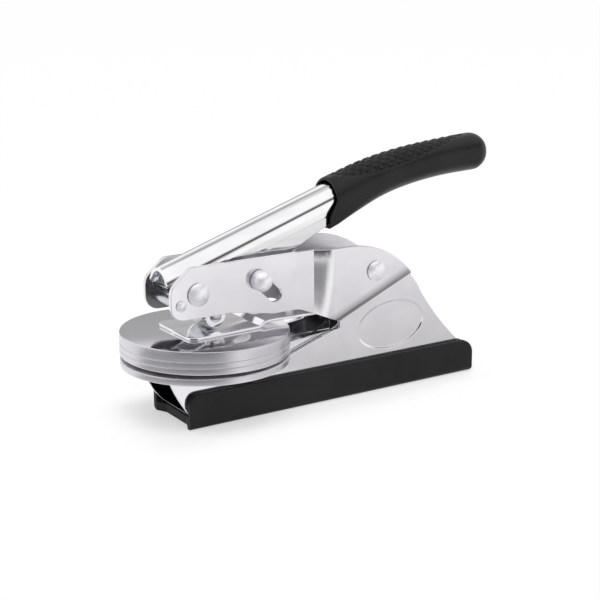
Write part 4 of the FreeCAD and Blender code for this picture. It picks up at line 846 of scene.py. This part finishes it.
def roundArch(shell):
    # cuts the lever's top across by planes through the arch's axis, which lies a half width under the
    # top line, and moves the cuts onto the two circles of the sheet's faces
    slope = math.radians(lever["angle"])
    up = Vector((-math.sin(slope), 0, math.cos(slope)))
    axis = Vector((lever["nose"][0], 0, lever["nose"][1])) * mm - up * lever["halfWidth"] * mm
    archEnd, step = lever["archEnd"] * mm, lever["archStep"]
    for angle in np.radians(np.arange(step, 180, step)):
        across = up * math.cos(angle) + Vector((0, 1, 0)) * math.sin(angle)
        cutAcross(shell, lambda middle: middle.x < archEnd, axis, across)
    for point in shell.verts:
        height = (point.co - axis).dot(up)
        away = math.hypot(height, point.co.y) / mm
        if height > 0 and point.co.x < archEnd and lever["archBand"][0] < away < lever["archBand"][1]:
            radius = lever["halfWidth"]
            if away < radius - lever["wall"] / 2:
                radius -= lever["wall"]
            point.co += up * height * (radius / away - 1)
            point.co.y *= radius / away


def sinkOval(shell):
    # the oval on the near side is pressed in: its raised face moves behind the cheek's and shrinks a little
    oval = sheetCopy["oval"]
    tilt = math.radians(oval["tilt"])
    for point in shell.verts:
        x, z = point.co.x / mm - oval["centre"][0], point.co.z / mm - oval["centre"][1]
        along, across = x * math.cos(tilt) + z * math.sin(tilt), z * math.cos(tilt) - x * math.sin(tilt)
        inside = math.hypot(along / oval["half"][0], across / oval["half"][1]) < oval["reach"]
        if inside and abs(point.co.y / mm - oval["raised"]) < oval["within"]:
            point.co.y = oval["sunk"] * mm
            along, across = along * oval["shrink"], across * oval["shrink"]
            point.co.x = (oval["centre"][0] + along * math.cos(tilt) - across * math.sin(tilt)) * mm
            point.co.z = (oval["centre"][1] + along * math.sin(tilt) + across * math.cos(tilt)) * mm


def onOval(line):
    # whether an edge belongs to the step round the oval
    oval = sheetCopy["oval"]
    middle = (line.verts[0].co + line.verts[1].co) / 2 / mm
    reach = math.hypot((middle.x - oval["centre"][0]) / oval["half"][0],
                       (middle.z - oval["centre"][1]) / oval["half"][1])
    return (oval["cutReach"][0] < reach < oval["cutReach"][1]
            and oval["cutDepth"][0] < middle.y < oval["cutDepth"][1])


def sheetPiece(name, node, finish, edge):
    # merged copy of the node with flat faces joined and its cut edges rounded
    shell = bmesh.new()
    shell.from_mesh(nodes[node].data)
    bmesh.ops.remove_doubles(shell, verts=shell.verts, dist=sheetCopy["merged"] * mm)
    bmesh.ops.dissolve_degenerate(shell, dist=sheetCopy["shortest"] * mm, edges=shell.edges)
    bmesh.ops.dissolve_limit(shell, angle_limit=math.radians(sheetCopy["flatWithin"]),
                             verts=shell.verts, edges=shell.edges)
    if node == "press_frame":
        curveArms(shell)
        sinkOval(shell)
    if node == "lever_shell":
        roundArch(shell)
    bmesh.ops.recalc_face_normals(shell, faces=shell.faces)
    inward = shell.faces.layers.float.new("inward")
    for face in shell.faces:
        middle = face.calc_center_median()
        face[inward] = float(middle.y * face.normal.y < -sheetCopy["inwardTurn"] * abs(middle.y))
    crease = Vector(sheetCopy["creaseEnd"]) * mm
    cuts = []
    for line in shell.edges:
        middle = (line.verts[0].co + line.verts[1].co) / 2
        middle.y = abs(middle.y)
        atCrease = (middle - crease).length < sheetCopy["creaseReach"] * mm
        sharp = sheetCopy["cutAngle"]
        if node == "press_frame" and onOval(line):
            sharp = sheetCopy["oval"]["cutAngle"]
        if line.calc_face_angle(0) > math.radians(sharp) and not atCrease:
            cuts.append(line)
    bmesh.ops.bevel(shell, geom=cuts, offset=edge * mm, offset_type="OFFSET", profile=0.5,
                    segments=sheetCopy["bevelSegments"], affect="EDGES", clamp_overlap=False)
    mesh = bpy.data.meshes.new(name)
    shell.to_mesh(mesh)
    shell.free()
    mesh.polygons.foreach_set("use_smooth", np.ones(len(mesh.polygons), bool))
    cornerNormals(mesh, sheetCopy["smoothWithin"], sheetCopy["flatWidth"], sheetCopy["flatWeight"])
    return putPiece(name, mesh, node, finish)


for name, (node, finish, edge) in sheets.items():
    sheetPiece(name, node, finish, edge)
for node in ("lower_dowels", "upper_dowels"):
    nodes[node].data.materials.clear()
    nodes[node].data.materials.append(finishes["brightZinc"])
print("sheet pieces and boot made")

spring = {
    "wire": 0.35, "coil": 2.1,              # radii
    "halfWidth": 3.2, "turns": 4,
    "lowerAngle": 30.0, "lowerLeg": 11.5, "upperAngle": 14.0, "upperLeg": 8.0,
    "perTurn": 36, "lowerSteps": 11, "upperSteps": 8, "sides": 12,
}


def springMesh(values):
    # round wire along a helix about the hinge pin, centre + coil (cos a, sin a), with straight legs
    # that leave it along the tangent (-sin a, cos a)
    startAngle = math.radians(values["lowerAngle"] - 90)
    endAngle = math.radians(values["upperAngle"] + 90 + 360 * values["turns"])
    share = np.linspace(0, 1, values["perTurn"] * values["turns"])
    angle = startAngle + (endAngle - startAngle) * share
    across = (values["halfWidth"] - values["wire"]) * (1 - 2 * share)
    legs = (values["lowerSteps"], values["upperSteps"])
    lowerLeg = -values["lowerLeg"] * np.linspace(1, 0, legs[0] + 1)[:-1]
    upperLeg = values["upperLeg"] * np.linspace(0, 1, legs[1] + 1)[1:]
    angles = np.concatenate([np.full(legs[0], startAngle), angle, np.full(legs[1], endAngle)])
    offsets = np.concatenate([lowerLeg, np.zeros_like(angle), upperLeg])
    across = np.concatenate([np.full(legs[0], across[0]), across, np.full(legs[1], across[-1])])
    hingeX, hingeZ = axes["hinge"]
    path = np.stack([hingeX + values["coil"] * np.cos(angles) - np.sin(angles) * offsets, across,
                     hingeZ + values["coil"] * np.sin(angles) + np.cos(angles) * offsets], axis=-1)
    outward = np.stack([np.cos(angles), np.zeros_like(angles), np.sin(angles)], axis=-1)[:, None, :]
    sideways = np.array([0.0, 1.0, 0.0])
    turn = np.linspace(0, 2 * math.pi, values["sides"], endpoint=False)[None, :, None]
    rings = path[:, None, :] + values["wire"] * (outward * np.cos(turn) + sideways * np.sin(turn))
    ends = [np.repeat(path[number][None, None, :], values["sides"], axis=1) for number in (0, -1)]
    return gridMesh("returnSpring", [np.concatenate([ends[0], rings, ends[1]])], sharpAngle=50)


putPiece("returnSpring", springMesh(spring), "return_spring", "springWire")
print("spring wound")

grip = {
    "startX": 44.8, "centreDrop": 7.8,          # below the lever's top line
    "startLift": 2.3,                           # degrees more than the lever
    "straight": 14.0, "bendRadius": 141.0, "bendAngle": 17.5, "tail": 12.3,
    # the section from the centre line, and how much wider, higher and shallower it is at the front
    "halfWidth": 6.4, "swell": 1.2, "top": 6.1, "rise": 2.8, "swellLength": 54.0,
    "bottom": 6.7, "tuck": 1.9, "tuckLength": 65.0,
    "corner": (1.0, 5.4), "cornerLength": 30.0,     # radius of the lower corners, front and further on
    "cornerMost": 0.9,                          # as a share of the half width
    "brow": (1.2, 4.2), "chin": (-1.8, -2.8),   # where the open front leans, from the start
    "lip": 0.40, "lipSquareness": 0.5, "lipSteps": 10,
    "mouthGap": 0.75, "mouthDepth": 6.5, "mouthCorner": 0.4, "mouthNear": 63.0, "mouthRows": 12,
    "flatSteps": 6, "bendSteps": 9, "sideSteps": 14, "crownSteps": 43,      # columns of half a section
    "rowStep": 0.30, "endRows": 25, "frontTries": 12,
}
scales = {                  # raised scales on the back of the grip, in a leaf-shaped field
    "from": 7.0, "to": 60.0, "halfWidth": 8.4, "fade": 1.0, "leafPowers": (0.7, 0.6),
    "length": 3.5, "width": 3.3, "height": 1.00, "sink": 0.72, "pillowPower": 4, "lean": 0.38,
}


leverAngle = math.radians(lever["angle"])
startAngle = math.radians(lever["angle"] + grip["startLift"])
startHeight = (lever["nose"][1] - grip["centreDrop"]
               + (grip["startX"] - lever["nose"][0]) * math.tan(leverAngle))
gripLength = grip["straight"] + grip["bendRadius"] * math.radians(grip["bendAngle"]) + grip["tail"]


def gripFrame(distance):
    # point and direction of the centre line: straight, then an arc that bends level, then straight
    bend = math.radians(grip["bendAngle"])
    onArc = np.clip((distance - grip["straight"]) / grip["bendRadius"], 0, bend)
    angle = startAngle - onArc
    ahead = np.minimum(distance, grip["straight"])
    behind = np.maximum(distance - grip["straight"] - grip["bendRadius"] * bend, 0)
    radius = grip["bendRadius"]
    x = (grip["startX"] + ahead * math.cos(startAngle) + behind * np.cos(angle)
         + radius * (math.sin(startAngle) - np.sin(angle)))
    z = (startHeight + ahead * math.sin(startAngle) + behind * np.sin(angle)
         + radius * (np.cos(angle) - math.cos(startAngle)))
    return x, z, angle


def sectionWeights():
    # columns round the section, from the bottom's middle to the top's middle and back down: flat
    # bottom, corner arc, upright side, half round top. Across is acrossWidth * half width +
    # acrossCorner * corner radius, up is a like sum, out is the skin's normal, arcWidth * half width
    # is the way round from the top down to the side, and half is the sign of the half
    flat = np.linspace(0, 1, grip["flatSteps"] + 1)[:-1]
    bend = np.radians(np.linspace(-90, 0, grip["bendSteps"] + 1))[:-1]
    side = np.linspace(0, 1, grip["sideSteps"] + 1)[:-1]
    crown = np.radians(np.linspace(0, 90, grip["crownSteps"] + 1))
    quarter = math.pi / 2
    far = 9                 # past the edge of the scales
    weights = {             # for the flat, the bend, the side and the crown
        "acrossWidth": (flat, 1, 1, np.cos(crown)),
        "acrossCorner": (-flat, np.cos(bend) - 1, 0, 0),
        "upBottom": (-1, -1, side - 1, 0),
        "upCorner": (0, 1 + np.sin(bend), 1 - side, 0),
        "upTop": (0, 0, side, 1),
        "upWidth": (0, 0, -side, np.sin(crown) - 1),
        "outAcross": (0, np.cos(bend), 1, np.cos(crown)),
        "outUp": (-1, np.sin(bend), 0, np.sin(crown)),
        "arcWidth": (far, far, quarter, quarter - crown),
        "half": (1, 1, 1, 1),
    }
    whole = {}
    for name, stretches in weights.items():
        half = np.concatenate([
            stretch + 0.0 * like for stretch, like in zip(stretches, (flat, bend, side, crown))])
        sign = -1 if name in ("acrossWidth", "acrossCorner", "outAcross", "half") else 1
        whole[name] = np.concatenate([half, sign * half[-2:0:-1]])
    return whole


columns = sectionWeights()


def inSection(halfWidth, top, bottom, corner):
    across = columns["acrossWidth"] * halfWidth + columns["acrossCorner"] * corner
    up = (columns["upBottom"] * bottom + columns["upCorner"] * corner + columns["upTop"] * top
          + columns["upWidth"] * halfWidth)
    return across, up


def scaleRelief(distance, around):
    # rhombic pillow cells (1 - a^4)(1 - b^4) on the slanting coordinates along / length +- around /
    # width, each highest at its rear tip, inside a leaf whose half width is w sin(pi s^0.7)^0.6
    # with s the share of its length
    share = np.clip((distance - scales["from"]) / (scales["to"] - scales["from"]), 0, 1)
    longways, sideways = scales["leafPowers"]
    leaf = scales["halfWidth"] * np.sin(math.pi * share ** longways) ** sideways
    inside = np.clip((leaf - np.abs(around)) / scales["fade"], 0, 1)
    slants = [distance / scales["length"] + way * around / scales["width"] for way in (1, -1)]
    first, second = [2 * (slant - np.floor(slant)) - 1 for slant in slants]
    pillow = (1 - first ** scales["pillowPower"]) * (1 - second ** scales["pillowPower"])
    lean = 1 - scales["lean"] + scales["lean"] * (first + second) / 2
    return inside * (scales["height"] * pillow * lean - scales["sink"])


def fading(distance, length):
    # half a cosine wave, from 1 at the front to 0 at the length
    return 0.5 * (1 + np.cos(math.pi * np.clip(distance / length, 0, 1)))


def gripSkin(distance):
    # outer skin; towards the far end the section shrinks as a half ball does
    x, z, angle = gripFrame(distance)
    swell = fading(distance, grip["swellLength"])
    ball = grip["halfWidth"]
    fromEnd = np.clip(gripLength - distance, 0, ball)
    inset = ball - np.sqrt(ball ** 2 - (ball - fromEnd) ** 2)
    halfWidth = ball + grip["swell"] * swell - inset
    top = grip["top"] + grip["rise"] * swell - inset
    bottom = grip["bottom"] - grip["tuck"] * fading(distance, grip["tuckLength"]) - inset
    growth = np.sin(math.pi / 2 * np.clip(distance / grip["cornerLength"], 0, 1))
    corner = grip["corner"][0] + (grip["corner"][1] - grip["corner"][0]) * growth
    across, up = inSection(halfWidth, top, bottom, np.minimum(corner, grip["cornerMost"] * halfWidth))
    onSide = columns["arcWidth"] == math.pi / 2
    around = columns["half"] * (halfWidth * columns["arcWidth"] + np.where(onSide, top - halfWidth - up, 0))
    relief = scaleRelief(distance, around)
    across = across + relief * columns["outAcross"]
    up = up + relief * columns["outUp"]
    return np.stack([x - np.sin(angle) * up, across + 0 * x, z + np.cos(angle) * up], axis=-1)


def mouthSkin(length):
    # inside of the open end, a gap outside the lever; length runs along the lever from its nose
    slope = math.tan(math.radians(lever["edgeSlope"]))
    cosine, sine = math.cos(leverAngle), math.sin(leverAngle)
    gap, (noseX, noseZ) = grip["mouthGap"], lever["nose"]
    floor = (lever["edgeAt"][1] - gap + (noseX - lever["edgeAt"][0]) * slope - noseZ
             + length * (cosine * slope - sine))
    bottom = -floor / (cosine + slope * sine)
    across, up = inSection(lever["halfWidth"] + gap, gap, bottom, grip["mouthCorner"])
    return np.stack([noseX + length * cosine - up * sine, across + 0 * length,
                     noseZ + length * sine + up * cosine], axis=-1)


def openFront(skin, start, angle):
    # slides each column along until it meets the leaning front, x = chin + (brow - chin) (3 s^2 - 2 s^3)
    # with s the share of the height between them
    browX, browZ = grip["startX"] + grip["brow"][0], startHeight + grip["brow"][1]
    chinX, chinZ = grip["startX"] + grip["chin"][0], startHeight + grip["chin"][1]
    along = np.full((1, len(columns["half"])), start, float)
    for _ in range(grip["frontTries"]):
        points = skin(along)
        share = np.clip((points[..., 2] - chinZ) / (browZ - chinZ), 0, 1)
        front = chinX + (browX - chinX) * share * share * (3 - 2 * share)
        along = along - (points[..., 0] - front) / math.cos(angle)
    return along


def gripMesh():
    # one skin from the depth of the mouth, round the lip and along the outside to the far end
    outerStart = openFront(gripSkin, 0.0, startAngle)
    innerStart = openFront(mouthSkin, grip["mouthNear"], leverAngle)
    lip, ball, square = grip["lip"], grip["halfWidth"], grip["lipSquareness"]
    share = np.linspace(0, 1, round((gripLength - ball) / grip["rowStep"]))[:, None]
    distances = outerStart + lip + (gripLength - ball - outerStart - lip) * share
    endAngle = np.radians(np.linspace(0, 90, grip["endRows"] + 1))[1:, None]
    farEnd = np.broadcast_to(gripLength - ball + ball * np.sin(endAngle), (len(endAngle), distances.shape[1]))
    outside = gripSkin(np.concatenate([distances, farEnd]))
    inward = np.linspace(1, 0, grip["mouthRows"])[:, None]
    inside = mouthSkin(innerStart + lip + (grip["mouthDepth"] - lip) * inward)
    # lip: half of a squared ellipse from the inner skin to the outer one
    turn = np.linspace(math.pi, 0, grip["lipSteps"] + 1)[1:-1, None, None]
    middle, reach = (outside[:1] + inside[-1:]) / 2, (outside[:1] - inside[-1:]) / 2
    forward = -np.array([math.cos(startAngle), 0, math.sin(startAngle)]) * lip
    rim = (middle + reach * np.sign(np.cos(turn)) * np.abs(np.cos(turn)) ** square
           + forward * np.abs(np.sin(turn)) ** square)
    deepEnd = np.broadcast_to(inside[:1].mean(axis=1, keepdims=True), inside[:1].shape)
    grid = np.concatenate([deepEnd, inside, rim, outside])
    return gridMesh("gripSleeve", [grid], sharpAngle=50)


putPiece("gripSleeve", gripMesh(), "grip", "gripRubber")
print("grip made")
